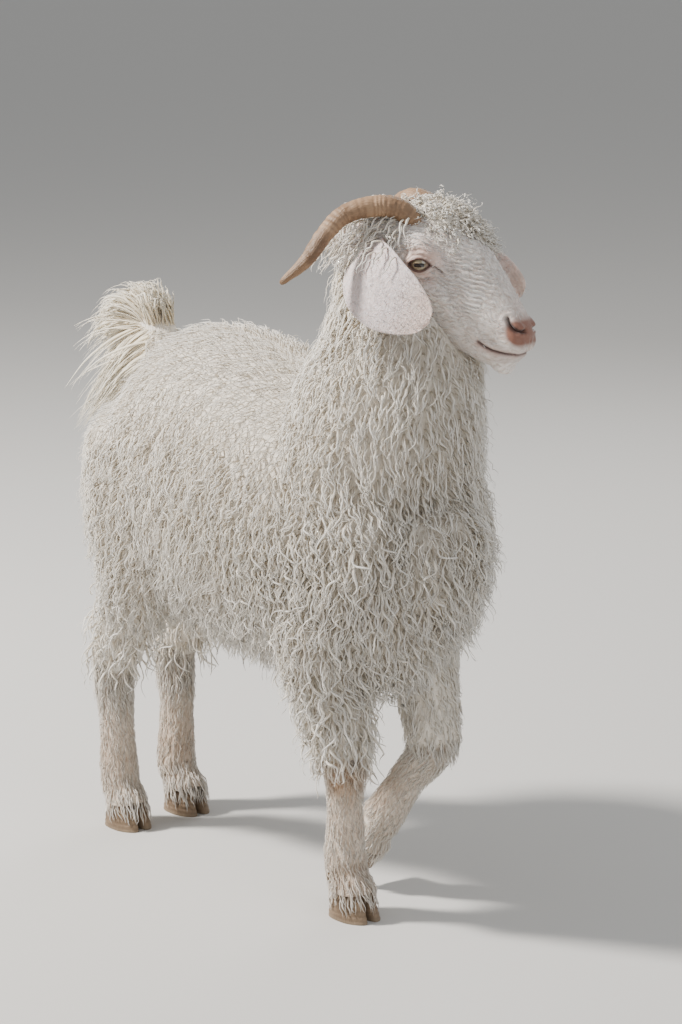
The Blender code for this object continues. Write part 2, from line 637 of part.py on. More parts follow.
def horn(name, side, grow=0.0):
    rows = curve_through(mirrored(HORN_LINE, side), 18)
    spots, tangents = rows[:, :3], np.gradient(rows[:, :3], axis=0)
    rings = []
    for k, (spot, along) in enumerate(zip(spots, tangents)):
        radius = rows[k, 3] * (1 + 0.035 * (k % 2)) + grow
        rings.append(ring(spot, along, (0, 0, 1), radius * 0.92, radius * 1.06, 8))
    if grow:
        rings[0] = [p - tangents[0] / np.linalg.norm(tangents[0]) * grow for p in rings[0]]
    return placed(lofted(name, rings), frame_of_head(0.0))


def head_and_features():
    """The head, its eyes, ears and horns; then the plain head a little wider, to seat it in the neck."""
    blank = head_blank()
    space = modified(copied(blank, "head_space"), "DISPLACE", strength=2 * SOCKET_GAP, mid_level=0.0)
    placed(space, frame_of_head())
    head = mouth_and_nostrils(blank)
    nodes = []
    for side, word in ((-1, "right"), (1, "left")):
        eyelids(head, side)
        eye = ball("eye_" + word, (0, 0, 0), [EYE_RADIUS] * 3, *EYE_FACETS)
        nodes.append(placed(eye, frame_of_head() @ eye_frame(side)))
    placed(head, frame_of_head())
    fused("head", head, [poll_side(piece, 1) for piece in forelock(frame_of_head())])
    for side, word, line in ((-1, "right", EAR_RIGHT), (1, "left", EAR_LEFT)):
        nodes += [ear("ear_" + word, line, side), horn("horn_" + word, side)]
        cut(head, ear("ear_socket", line, side, SOCKET_GAP))
        cut(head, horn("horn_socket", side, SOCKET_GAP))
    return [largest_surface(head)] + nodes, space


def poll_side(obj, sign):
    """Keeps what lies above the cut at the poll for sign 1, and below it for -1."""
    point, normal = POLL_CUT
    yaw = frame_of_head(0.0)
    return side_of(obj, yaw @ Vector(point), yaw.to_3x3() @ Vector(normal) * sign)


def foot_frame(joints, pitch):
    """Frame at the middle of the coronet: x towards the toe and z up."""
    return Matrix.Translation(joints[-1]) @ Matrix.Rotation(pitch, 4, "Y")


def claw(name, side):
    """One half of a hoof under the coronet: flat inner side, flat sole, toe drawn in to the cleft."""
    rings = []
    for down, (half, wide, ahead) in ((0.0, CLAW_CORONET), (1.0, CLAW_SOLE)):
        points = []
        for a in np.arange(12) * 2 * math.pi / 12:
            c, s = math.cos(a), math.sin(a)
            x, y = math.copysign(abs(c) ** 0.75, c), 0.5 + 0.5 * math.copysign(abs(s) ** 0.75, s)
            narrow = 1 - 0.32 * max(0.0, x) ** 2
            z = -NODE_GAP / 2 - down * (CLAW_HEIGHT - NODE_GAP / 2)
            points.append((ahead + half * x, side * (CLEFT / 2 + wide * y * narrow), z))
        rings.append(points)
    return lofted(name, rings)


def lower_leg(name, joints, skin, pitch, grow=0.0):
    """The leg from inside the knee or hock to the coronet, with its two dewclaws."""
    rows = leg_rows(joints, skin, SHORT_HAIR + grow)
    start = (np.array(rows[3]) + np.array(rows[4])) / 2
    start[3:] = np.array(rows[4])[3:] * 0.85
    up = start[:3] - np.array(rows[4])[:3]
    start[:3] += up / np.linalg.norm(up) * grow
    end = np.array(rows[-1])
    end[:3] += (end[:3] - np.array(rows[-2])[:3]) * 0.35
    line = [start] + rows[4:] + [end]
    made = tube(name, line, around=10, along=10, flat_ends=True)
    frame = foot_frame(joints, pitch)
    if not grow:
        dews = [tube("dewclaw", mirrored(DEWCLAW, side), around=6, along=3) for side in (-1, 1)]
        fused(name, made, [placed(dew, frame) for dew in dews])
    return side_of(made, frame.translation, frame.to_3x3() @ Vector((0, 0, 1)))


def leg_region(name, joints, skin, cut_z, grow):
    """The space of an upper leg with its fleece: a wide tube below the cut."""
    rows = leg_rows(joints, skin, COAT_LEG + REGION_MARGIN + grow)[1:7]
    made = tube(name + "_region", rows, around=16, along=14)
    return cut(made, half_space("above", (0, 0, cut_z + grow), (0, 0, 1)))


def body_nodes(body, head_space):
    """Torso, neck and upper legs, parted by thin cuts; the back of the head sits in the neck."""
    neck = side_of(copied(body, "neck"), *NECK_CUT)
    torso = side_of(body, NECK_CUT[0], -Vector(NECK_CUT[1]))
    torso.name = "torso"
    torso = side_of(torso, TAIL_CUT[0], -Vector(TAIL_CUT[1]))
    legs = []
    for name, (joints, skin, cut_z, _) in LEGS.items():
        region = leg_region(name, joints, skin, cut_z, -NODE_GAP / 2)
        legs.append(cut(copied(torso, name + "_upper"), region, "INTERSECT"))
    for name, (joints, skin, cut_z, _) in LEGS.items():
        cut(torso, leg_region(name, joints, skin, cut_z, NODE_GAP / 2))
    poll_side(cut(neck, head_space), -1)
    for side, line in ((-1, EAR_RIGHT), (1, EAR_LEFT)):
        cut(neck, ear("ear_space", line, side, 0.003, filled=True))
        cut(neck, horn("horn_space", side, 0.002))
    return [torso, neck] + legs


def main():
    scene_cleared()
    nodes, head_space = head_and_features()
    nodes += body_nodes(body_core(), head_space)
    nodes.append(tail())
    made = {node.name: node for node in nodes}
    for name, (joints, skin, _, pitch) in LEGS.items():
        cut(made[name + "_upper"], lower_leg(name + "_socket", joints, skin, pitch, SOCKET_GAP))
        nodes.append(lower_leg(name + "_lower", joints, skin, pitch))
        for side, word in ((-1, "right"), (1, "left")):
            nodes.append(placed(claw(f"hoof_{name}_{word}", side), foot_frame(joints, pitch)))
    corners = np.array([corner for node in nodes for corner in node.bound_box])
    low, high = corners.min(axis=0), corners.max(axis=0)
    origin = Vector(((low[0] + high[0]) / 2, (low[1] + high[1]) / 2, low[2]))
    finishes = {name: material(name, *values) for name, values in FINISHES.items()}
    for node in nodes:
        largest_surface(node)
        node.data.transform(Matrix.Translation(-origin))
        finish = next((kind for word, kind in NODE_FINISH if word in node.name), "fleece")
        node.data.materials.clear()
        node.data.materials.append(finishes[finish])
        node.data.shade_smooth()
        node.data.set_sharp_from_angle(angle=SHARP_FROM)
    print("origin", tuple(round(value, 4) for value in origin))


main()
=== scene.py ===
import math

import bmesh
import bpy
import numpy as np
from mathutils import Matrix, Vector, noise
from mathutils.bvhtree import BVHTree
from mathutils.kdtree import KDTree


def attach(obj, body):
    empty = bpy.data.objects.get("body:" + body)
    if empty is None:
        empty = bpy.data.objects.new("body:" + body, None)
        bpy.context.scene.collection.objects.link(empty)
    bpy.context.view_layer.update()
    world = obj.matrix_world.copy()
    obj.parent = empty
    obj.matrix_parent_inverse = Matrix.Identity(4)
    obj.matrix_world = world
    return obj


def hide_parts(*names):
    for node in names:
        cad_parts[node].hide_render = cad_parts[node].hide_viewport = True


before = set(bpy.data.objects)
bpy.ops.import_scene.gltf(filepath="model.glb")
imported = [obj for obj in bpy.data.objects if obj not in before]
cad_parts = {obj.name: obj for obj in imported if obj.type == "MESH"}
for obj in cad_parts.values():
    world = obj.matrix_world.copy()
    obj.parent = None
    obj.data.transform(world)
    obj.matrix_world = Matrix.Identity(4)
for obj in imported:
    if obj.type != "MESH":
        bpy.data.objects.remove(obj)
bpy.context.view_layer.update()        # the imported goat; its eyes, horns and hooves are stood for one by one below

origin = Vector((-0.0214, -0.0013, 0.0))        # where the shared origin lies in the goat's own measures
toShared = Matrix.Translation(-origin)

# The animal's sizes, in metres: +X ahead, +Y its left, +Z up
body = {"backHeight": 0.634, "chestDepth": 0.298, "barrelWidth": 0.262, "buttockX": -0.245, "chestX": 0.275,
        "coatBody": 0.036, "coatBack": 0.024, "coatLeg": 0.020, "coatNeck": 0.030, "underwool": 0.40,
        "trunk": ((0.00, 0.30, 0.34, 0.105), (0.05, 0.66, 0.62, 0.048), (0.14, 0.97, 0.82, 0.010),
                  (0.30, 1.08, 0.92, -0.006), (0.49, 1.035, 1.00, 0.013), (0.66, 0.98, 0.96, 0.038),
                  (0.80, 0.985, 0.84, 0.051), (0.91, 0.85, 0.72, 0.070), (0.97, 0.68, 0.56, 0.096),
                  (1.00, 0.42, 0.34, 0.135)),
        "neck": ((0.166, 0.000, 0.485, 0.106, 0.100), (0.191, 0.000, 0.575, 0.083, 0.095),
                 (0.203, 0.006, 0.655, 0.060, 0.082), (0.194, 0.006, 0.715, 0.043, 0.061),
                 (0.173, 0.000, 0.760, 0.028, 0.039)),
        "dock": ((-0.200, 0, 0.580, 0.032, 0.032), (-0.238, 0, 0.632, 0.018, 0.018))}

# Each leg: joints from shoulder or hip to coronet, and the pitch of its foot
foreSkin = ((0.040, 0.058), (0.038, 0.054), (0.031, 0.042), (0.025, 0.031), (0.0225, 0.0240),
            (0.0170, 0.0195), (0.0200, 0.0230), (0.0180, 0.0195), (0.0225, 0.0245))
hindSkin = ((0.052, 0.086), (0.052, 0.084), (0.042, 0.062), (0.026, 0.032), (0.0190, 0.0220),
            (0.0170, 0.0210), (0.0200, 0.0230), (0.0180, 0.0195), (0.0225, 0.0245))
legs = {"foreleg_right": {"skin": foreSkin, "pitch": 0.0,
                          "joints": ((0.212, -0.062, 0.480), (0.168, -0.078, 0.335), (0.182, -0.053, 0.195),
                                     (0.178, -0.048, 0.068), (0.191, -0.048, 0.031))},
        "foreleg_left": {"skin": foreSkin, "pitch": math.radians(62),
                         "joints": ((0.208, 0.054, 0.480), (0.180, 0.064, 0.335), (0.216, 0.054, 0.198),
                                    (0.146, 0.036, 0.092), (0.128, 0.032, 0.064))},
        "hindleg_right": {"skin": hindSkin, "pitch": 0.0,
                          "joints": ((-0.178, -0.062, 0.520), (-0.152, -0.084, 0.375), (-0.268, -0.055, 0.222),
                                     (-0.268, -0.048, 0.066), (-0.254, -0.048, 0.031))},
        "hindleg_left": {"skin": hindSkin, "pitch": 0.0,
                         "joints": ((-0.180, 0.062, 0.520), (-0.162, 0.084, 0.375), (-0.280, 0.055, 0.222),
                                    (-0.276, 0.048, 0.066), (-0.258, 0.048, 0.031))}}

# The head's own frame has u ahead along the nose, v to the left and w up from it
head = {"poll": (0.213, 0.000, 0.817), "yaw": math.radians(20), "dip": math.radians(38),
        "shape": ((-0.040, -0.030, -0.085, 0.034, -0.055), (-0.010, 0.004, -0.096, 0.044, -0.042),
                  (0.030, 0.026, -0.094, 0.047, -0.028), (0.069, 0.037, -0.086, 0.044, -0.018),
                  (0.105, 0.039, -0.076, 0.036, -0.016), (0.140, 0.030, -0.071, 0.030, -0.018),
                  (0.170, 0.020, -0.063, 0.0265, -0.020), (0.192, 0.012, -0.056, 0.0245, -0.020),
                  (0.205, 0.005, -0.048, 0.0210, -0.020), (0.213, -0.006, -0.036, 0.0120, -0.020)),
        "bumps": {"brow": ((0.062, -0.036, 0.004), (0.026, 0.016, 0.014)),
                  "cheekBone": ((0.088, -0.030, -0.024), (0.036, 0.014, 0.011)),
                  "jawMuscle": ((0.048, -0.026, -0.062), (0.036, 0.023, 0.028)),
                  "upperLip": ((0.196, -0.013, -0.012), (0.018, 0.0125, 0.014)),
                  "nostrilWing": ((0.190, -0.014, 0.000), (0.015, 0.0095, 0.010)),
                  "chin": ((0.200, 0.0, -0.044), (0.016, 0.017, 0.012))},
        "voxel": 0.00150,
        "mouth": ((0.160, -0.0375), (0.1684, -0.0362), (0.1801, -0.0352), (0.1900, -0.0322), (0.2024, -0.0258),
                  (0.2117, -0.0206), (0.2300, -0.0195)),
        "nostril": ((0.1795, 0.0055), (0.1860, 0.0036), (0.1935, 0.0024), (0.1990, 0.0030), (0.2022, 0.0052)),
        "forelock": ((0.059, 0.016, 0.023), (0.046, 0.042, 0.018))}

eye = {"at": (0.069, 0.0385, -0.009), "radius": 0.0135, "out": (0.28, 0.94, 0.12), "slit": (1.0, 0.0, 0.75),
       "opening": (0.0240, 0.0138), "lid": 0.0022, "iris": 0.0080, "pupil": (0.0062, 0.0023)}

hornSizes = {"line": ((0.034, 0.020, -0.014, 0.0120), (0.019, 0.031, 0.006, 0.0132), (-0.006, 0.045, 0.010, 0.0128),
                      (-0.033, 0.064, 0.001, 0.0114), (-0.047, 0.086, -0.021, 0.0100),
                      (-0.058, 0.105, -0.047, 0.0082), (-0.082, 0.120, -0.072, 0.0036)),
             "around": 40, "along": 200, "rings": 30, "ridge": 0.034}

earSizes = {"right": ((-0.008, 0.040, -0.026, 0.0110), (-0.012, 0.059, -0.048, 0.0330),
                      (0.005, 0.075, -0.065, 0.0420), (0.029, 0.086, -0.081, 0.0415),
                      (0.057, 0.091, -0.095, 0.0365), (0.086, 0.092, -0.107, 0.0320)),
            "left": ((-0.004, 0.040, -0.022, 0.0100), (-0.003, 0.060, -0.037, 0.0280),
                     (0.013, 0.084, -0.055, 0.0385), (0.037, 0.104, -0.073, 0.0385),
                     (0.064, 0.117, -0.086, 0.0340), (0.092, 0.124, -0.101, 0.0300)),
            "thickness": 0.0034, "rim": 0.0010, "cup": 0.0048, "out": (-0.25, 1.0, 0.30)}


def curveThrough(rows, count):
    rows = np.asarray(rows, float)
    last = len(rows) - 1
    t = np.linspace(0, last, count)
    i = np.minimum(t.astype(int), last - 1)
    f = (t - i)[:, None]
    before, a, b, after = (rows[np.clip(i + k, 0, last)] for k in (-1, 0, 1, 2))
    return 0.5 * (2 * a + (b - before) * f + (2 * before - 5 * a + 4 * b - after) * f ** 2
                  + (3 * a - before - 3 * b + after) * f ** 3)


def unit(vectors):
    return vectors / np.maximum(np.linalg.norm(vectors, axis=-1, keepdims=True), 1e-9)


def meshObject(name, points, faces, edges=()):
    mesh = bpy.data.meshes.new(name)
    mesh.from_pydata([tuple(p) for p in points], list(edges), faces)
    obj = bpy.data.objects.new(name, mesh)
    bpy.context.scene.collection.objects.link(obj)
    return obj


def pointsOf(mesh):
    spots = np.empty(len(mesh.vertices) * 3, np.float32)
    mesh.vertices.foreach_get("co", spots)
    return spots.reshape(-1, 3).astype(float)


def outsOf(mesh):
    outs = np.empty(len(mesh.vertices) * 3, np.float32)
    mesh.vertices.foreach_get("normal", outs)
    return outs.reshape(-1, 3).astype(float)


def setPoints(mesh, spots):
    mesh.vertices.foreach_set("co", np.asarray(spots, np.float32).ravel())
    mesh.update()


def cornersOf(mesh):
    mesh.calc_loop_triangles()
    index = np.empty(len(mesh.loop_triangles) * 3, np.int32)
    mesh.loop_triangles.foreach_get("vertices", index)
    return index.reshape(-1, 3)


def setValues(mesh, name, values, kind="FLOAT"):
    made = mesh.attributes.new(name, kind, "POINT")
    key = {"FLOAT": "value", "FLOAT_VECTOR": "vector", "FLOAT_COLOR": "color"}[kind]
    made.data.foreach_set(key, np.asarray(values, np.float32).ravel())


def facingOut(obj):
    spots = pointsOf(obj.data)
    if np.linalg.det(spots[cornersOf(obj.data)]).sum() < 0:
        obj.data.flip_normals()
    return obj


def lofted(name, rings):
    rings = [np.asarray(r, float) for r in rings]
    n = len(rings[0])
    points = [p for r in rings for p in r] + [rings[0].mean(axis=0), rings[-1].mean(axis=0)]
    faces = [(k * n + j, k * n + (j + 1) % n, (k + 1) * n + (j + 1) % n, (k + 1) * n + j)
             for k in range(len(rings) - 1) for j in range(n)]
    first, last, top = len(points) - 2, len(points) - 1, (len(rings) - 1) * n
    for j in range(n):
        k = (j + 1) % n
        faces += [(k, j, first), (top + j, top + k, last)]
    return facingOut(meshObject(name, points, faces))


def ring(centre, along, across, halfAcross, halfDepth, count):
    along = unit(np.asarray(along, float))
    side = np.asarray(across, float)
    side = unit(side - along * np.dot(side, along))
    depth = np.cross(along, side)
    a = (np.arange(count) * 2 * math.pi / count)[:, None]
    return centre + side * halfAcross * np.cos(a) + depth * halfDepth * np.sin(a)


def tube(name, rows, around=20, along=30, across=(0, 1, 0), flatEnds=False):
    rows = curveThrough(rows, along)
    spots, tangents = rows[:, :3], np.gradient(rows[:, :3], axis=0)
    rings = [ring(p, t, across, r[3], r[4], around) for p, t, r in zip(spots, tangents, rows)]
    if not flatEnds:
        for end, inner in ((0, 1), (-1, -2)):
            out = unit(spots[end] - spots[inner]) * rows[end, 3:5].min() * 0.5
            rings.insert(0 if end == 0 else len(rings), spots[end] + out + (rings[end] - spots[end]) * 0.62)
    return lofted(name, rings)


def ball(name, centre, radii, around=32, rings=20):
    made = meshObject(name, [], [])
    shell = bmesh.new()
    bmesh.ops.create_uvsphere(shell, u_segments=around, v_segments=rings, radius=1.0)
    shell.to_mesh(made.data)
    shell.free()
    made.data.transform(Matrix.Translation(centre) @ Matrix.Diagonal((*radii, 1.0)))
    return facingOut(made)


def modified(obj, kind, **settings):
    modifier = obj.modifiers.new(kind, kind)
    for key, value in settings.items():
        setattr(modifier, key, value)
    graph = bpy.context.evaluated_depsgraph_get()
    mesh = bpy.data.meshes.new_from_object(obj.evaluated_get(graph))
    obj.modifiers.clear()
    obj.data = mesh
    return obj


def finishWith(obj, material):
    obj.data.materials.clear()
    obj.data.materials.append(material)
    obj.data.polygons.foreach_set("material_index", np.zeros(len(obj.data.polygons), np.int32))


def removed(obj):
    bpy.data.objects.remove(obj)


def joined(name, parts):
    with bpy.context.temp_override(active_object=parts[0], selected_editable_objects=parts, object=parts[0]):
        bpy.ops.object.join()
    parts[0].name = name
    return parts[0]


def smoothUnion(name, parts, voxel, rounds):
    made = joined(name, parts)
    modified(made, "REMESH", mode="VOXEL", voxel_size=voxel)
    return modified(made, "SMOOTH", factor=0.5, iterations=rounds)


def combined(base, other, operation="UNION"):
    modified(base, "BOOLEAN", operation=operation, object=other, solver="MANIFOLD")
    removed(other)
    return base


def placed(obj, where):
    obj.data.transform(where)
    return facingOut(obj)


def headFrame(dip=head["dip"]):
    return Matrix.Translation(head["poll"]) @ Matrix.Rotation(head["yaw"], 4, "Z") @ Matrix.Rotation(dip, 4, "Y")


def footFrame(leg):
    return Matrix.Translation(leg["joints"][-1]) @ Matrix.Rotation(leg["pitch"], 4, "Y")


def inFrame(spots, where):
    turn = np.array(where.inverted())
    return spots @ turn[:3, :3].T + turn[:3, 3]


def bySide(rows, side):
    return [(r[0], side * abs(r[1]), *r[2:]) for r in rows]


def surfaceOf(obj):
    mesh = obj.data
    return BVHTree.FromPolygons([v.co for v in mesh.vertices], [f.vertices for f in mesh.polygons])


def lineDistance(spots, line):
    line = np.asarray(line, float)
    best, share = np.full(len(spots), 1e9), np.zeros(len(spots))
    for k in range(len(line) - 1):
        a, step = line[k], line[k + 1] - line[k]
        t = np.clip(((spots - a) @ step) / (step @ step), 0, 1)
        far = np.linalg.norm(spots - a - t[:, None] * step, axis=1)
        near = far < best
        best[near], share[near] = far[near], (k + t[near]) / (len(line) - 1)
    return best, share


def bell(distance, width):
    return np.exp(-(distance / width) ** 2)


def fade(values, low, high):
    t = np.clip((values - low) / (high - low), 0, 1)
    return t * t * (3 - 2 * t)


# Materials

def addNode(tree, kind, inputs=None, **settings):
    node = tree.nodes.new(kind)
    for key, value in settings.items():
        setattr(node, key, value)
    for key, value in (inputs or {}).items():
        if isinstance(value, bpy.types.NodeSocket):
            tree.links.new(value, node.inputs[key])
        else:
            node.inputs[key].default_value = value
    return node


def maths(tree, operation, a, b=0.0, clamp=False):
    return addNode(tree, "ShaderNodeMath", {0: a, 1: b}, operation=operation, use_clamp=clamp).outputs[0]


def mixColour(tree, share, a, b, blend="MIX"):
    node = addNode(tree, "ShaderNodeMix", data_type="RGBA", blend_type=blend)
    for key, value in ((0, share), (6, a), (7, b)):
        if isinstance(value, bpy.types.NodeSocket):
            tree.links.new(value, node.inputs[key])
        else:
            node.inputs[key].default_value = value if key == 0 else (*value, 1.0)
    return node.outputs[2]


def readValue(tree, name, output="Fac"):
    return addNode(tree, "ShaderNodeAttribute", attribute_name=name).outputs[output]


def newMaterial(name, roughness, **fixed):
    made = bpy.data.materials.new(name)
    made.use_nodes = True
    shader = made.node_tree.nodes["Principled BSDF"]
    shader.inputs["Roughness"].default_value = roughness
    for key, value in fixed.items():
        shader.inputs[key.replace("_", " ")].default_value = value
    return made, made.node_tree, shader


def bumpInto(tree, shader, height, strength, distance):
    bump = addNode(tree, "ShaderNodeBump", {"Height": height, "Strength": strength, "Distance": distance})
    tree.links.new(bump.outputs[0], shader.inputs["Normal"])


def groupSockets(tree, inputs, outputs):
    for way, sockets in (("INPUT", inputs), ("OUTPUT", outputs)):
        for label, kind, value in sockets:
            socket = tree.interface.new_socket(label, in_out=way, socket_type=kind)
            if value is not None:
                socket.default_value = value


def makeStreaks():
    # Fine hairs side by side: noise drawn out along the first axis of the given place
    tree = bpy.data.node_groups.new("hairStreaks", "ShaderNodeTree")
    groupSockets(tree, (("Place", "NodeSocketVector", None), ("Fineness", "NodeSocketFloat", 500.0),
                        ("Stretch", "NodeSocketFloat", 0.2), ("Waviness", "NodeSocketFloat", 0.003)),
                 (("Height", "NodeSocketFloat", None), ("Patches", "NodeSocketFloat", None)))
    start, end = addNode(tree, "NodeGroupInput"), addNode(tree, "NodeGroupOutput")
    place = start.outputs["Place"]
    bend = addNode(tree, "ShaderNodeTexNoise", {"Vector": place, "Scale": 55.0, "Detail": 1.0})
    shift = addNode(tree, "ShaderNodeVectorMath", {0: bend.outputs["Color"], 1: (0.5, 0.5, 0.5)}, operation="SUBTRACT")
    wave = addNode(tree, "ShaderNodeVectorMath", {0: shift.outputs[0]}, operation="SCALE")
    tree.links.new(start.outputs["Waviness"], wave.inputs["Scale"])
    bent = addNode(tree, "ShaderNodeVectorMath", {0: place, 1: wave.outputs[0]}, operation="ADD")
    stretch = addNode(tree, "ShaderNodeCombineXYZ", {"X": start.outputs["Stretch"], "Y": 1.0, "Z": 1.0})
    thin = addNode(tree, "ShaderNodeVectorMath", {0: bent.outputs[0], 1: stretch.outputs[0]}, operation="MULTIPLY")
    fine = addNode(tree, "ShaderNodeTexNoise", {"Vector": thin.outputs[0], "Scale": start.outputs["Fineness"],
                                               "Detail": 3.0, "Roughness": 0.6})
    broad = addNode(tree, "ShaderNodeTexNoise", {"Vector": place, "Scale": 28.0, "Detail": 3.0})
    tree.links.new(fine.outputs["Fac"], end.inputs["Height"])
    tree.links.new(broad.outputs["Fac"], end.inputs["Patches"])
    return tree


# Places where mud and plant juice have coloured the coat: centre in the shared frame, radius and strength
stains = (((0.215, -0.060, 0.168), 0.042, 0.90), ((0.212, -0.052, 0.120), 0.060, 0.30),
          ((0.170, 0.020, 0.140), 0.050, 0.60), ((-0.250, -0.060, 0.090), 0.075, 0.40),
          ((-0.250, 0.040, 0.090), 0.075, 0.40), ((0.210, -0.050, 0.050), 0.050, 0.50))


def makeStain():
    tree = bpy.data.node_groups.new("coatStain", "ShaderNodeTree")
    groupSockets(tree, (("Colour", "NodeSocketColor", None), ("Strength", "NodeSocketFloat", 1.0)),
                 (("Colour", "NodeSocketColor", None),))
    start, end = addNode(tree, "NodeGroupInput"), addNode(tree, "NodeGroupOutput")
    place = addNode(tree, "ShaderNodeTexCoord").outputs["Object"]
    total = None
    for centre, radius, strength in stains:
        far = addNode(tree, "ShaderNodeVectorMath", {0: place, 1: centre}, operation="DISTANCE").outputs["Value"]
        near = maths(tree, "SUBTRACT", 1.0, maths(tree, "DIVIDE", far, radius), clamp=True)
        share = maths(tree, "MULTIPLY", near, strength)
        total = share if total is None else maths(tree, "MAXIMUM", total, share)
    patchy = addNode(tree, "ShaderNodeTexNoise", {"Vector": place, "Scale": 60.0, "Detail": 3.0}).outputs["Fac"]
    total = maths(tree, "MULTIPLY", total, maths(tree, "MULTIPLY", patchy, 1.9), clamp=True)
    total = maths(tree, "MULTIPLY", total, start.outputs["Strength"])
    tree.links.new(mixColour(tree, total, (1, 1, 1), (0.58, 0.36, 0.19)), end.inputs["Colour"])
    return tree


streaks, stain = makeStreaks(), makeStain()


def stained(tree, colour, strength=1.0):
    tint = addNode(tree, "ShaderNodeGroup", {}, node_tree=stain)
    tint.inputs["Strength"].default_value = strength
    return mixColour(tree, 1.0, colour, tint.outputs["Colour"], "MULTIPLY")


def coatMaterial(name, deep, pale, warm, roughness=0.50):
    # Locks are yellower at the root and painted darker there as painted shade between the locks, with painted shade
    # also in lines between their fine hairs; each lock has a tone of its own
    made, tree, shader = newMaterial(name, roughness, Sheen_Weight=0.25, Sheen_Roughness=0.45,
                                     Specular_IOR_Level=0.5, Subsurface_Weight=0.18, Subsurface_Scale=0.006)
    shader.inputs["Subsurface Radius"].default_value = (1.0, 0.85, 0.7)
    along, own = readValue(tree, "along"), readValue(tree, "own")
    section = readValue(tree, "section", "Vector")
    split = addNode(tree, "ShaderNodeSeparateXYZ", {0: section})
    place = addNode(tree, "ShaderNodeCombineXYZ", {"X": along, "Y": maths(tree, "MULTIPLY", split.outputs[0], 1.8),
                                                  "Z": maths(tree, "MULTIPLY", split.outputs[1], 1.8)})
    moved = addNode(tree, "ShaderNodeVectorMath", {0: place.outputs[0]}, operation="ADD")
    offset = addNode(tree, "ShaderNodeCombineXYZ", {"X": maths(tree, "MULTIPLY", own, 37.0),
                                                   "Y": maths(tree, "MULTIPLY", own, 11.0), "Z": 0.0})
    tree.links.new(offset.outputs[0], moved.inputs[1])
    hair = addNode(tree, "ShaderNodeTexNoise", {"Vector": moved.outputs[0], "Scale": 3.4, "Detail": 2.0})
    # Painted shade: darker towards the root of each lock, which is also yellower there in its own colour
    rootShadeToTip = mixColour(tree, maths(tree, "MULTIPLY", along, 1.6, clamp=True), deep, pale)
    toned = mixColour(tree, maths(tree, "MULTIPLY", own, 0.45), rootShadeToTip, warm)
    # Painted shade in the lines between the fine hairs of each lock
    hairGapShaded = mixColour(tree, maths(tree, "MULTIPLY", maths(tree, "SUBTRACT", 0.62, hair.outputs["Fac"]), 1.6, clamp=True),
                      toned, deep)
    tree.links.new(stained(tree, hairGapShaded), shader.inputs["Base Color"])
    bumpInto(tree, shader, hair.outputs["Fac"], 0.5, 0.0012)
    return made


def skinMaterial():
    made, tree, shader = newMaterial("shortCoat", 0.62, Sheen_Weight=0.2, Specular_IOR_Level=0.35,
                                     Subsurface_Weight=0.15, Subsurface_Scale=0.006)
    shader.inputs["Subsurface Radius"].default_value = (1.0, 0.6, 0.45)
    hair = addNode(tree, "ShaderNodeGroup", {"Place": readValue(tree, "grain", "Vector"), "Fineness": 360.0,
                                             "Stretch": 0.20, "Waviness": 0.016}, node_tree=streaks)
    tint = readValue(tree, "tint", "Color")
    # One darker tone, for broad patches that differ at random and for painted shade in the lines between the hairs
    patchAndGapShade = mixColour(tree, 1.0, tint, (0.62, 0.53, 0.47), "MULTIPLY")
    share = maths(tree, "MULTIPLY", maths(tree, "SUBTRACT", 0.60, hair.outputs["Height"]), 3.4, clamp=True)
    patched = mixColour(tree, maths(tree, "MULTIPLY", hair.outputs["Patches"], 0.40), tint, patchAndGapShade)
    # Painted shade between the hairs, where the skin is hairy
    hairGapShaded = mixColour(tree, maths(tree, "MULTIPLY", share, readValue(tree, "hairy")), patched, patchAndGapShade)
    tree.links.new(stained(tree, hairGapShaded), shader.inputs["Base Color"])
    height = maths(tree, "MULTIPLY", hair.outputs["Height"], readValue(tree, "hairy"))
    bumpInto(tree, shader, height, 0.9, 0.0035)
    tree.links.new(readValue(tree, "rough"), shader.inputs["Roughness"])
    return made


def hornMaterial(name, pale, deep, tip, fineness):
    made, tree, shader = newMaterial(name, 0.5, Specular_IOR_Level=0.4)
    place = readValue(tree, "grain", "Vector")
    hair = addNode(tree, "ShaderNodeGroup", {"Place": place, "Fineness": fineness, "Stretch": 0.15,
                                             "Waviness": 0.002}, node_tree=streaks)
    blotch = maths(tree, "MULTIPLY", maths(tree, "SUBTRACT", hair.outputs["Patches"], 0.38), 3.6, clamp=True)
    colour = mixColour(tree, blotch, pale, deep)
    # Painted shade: darker in the grooves between the rings
    colour = mixColour(tree, maths(tree, "MULTIPLY", readValue(tree, "groove"), 0.75), colour, deep)
    colour = mixColour(tree, readValue(tree, "end"), colour, tip)
    tree.links.new(colour, shader.inputs["Base Color"])
    tree.links.new(maths(tree, "ADD", 0.34, maths(tree, "MULTIPLY", hair.outputs["Height"], 0.35)),
                   shader.inputs["Roughness"])
    bumpInto(tree, shader, hair.outputs["Height"], 0.75, 0.0018)
    return made


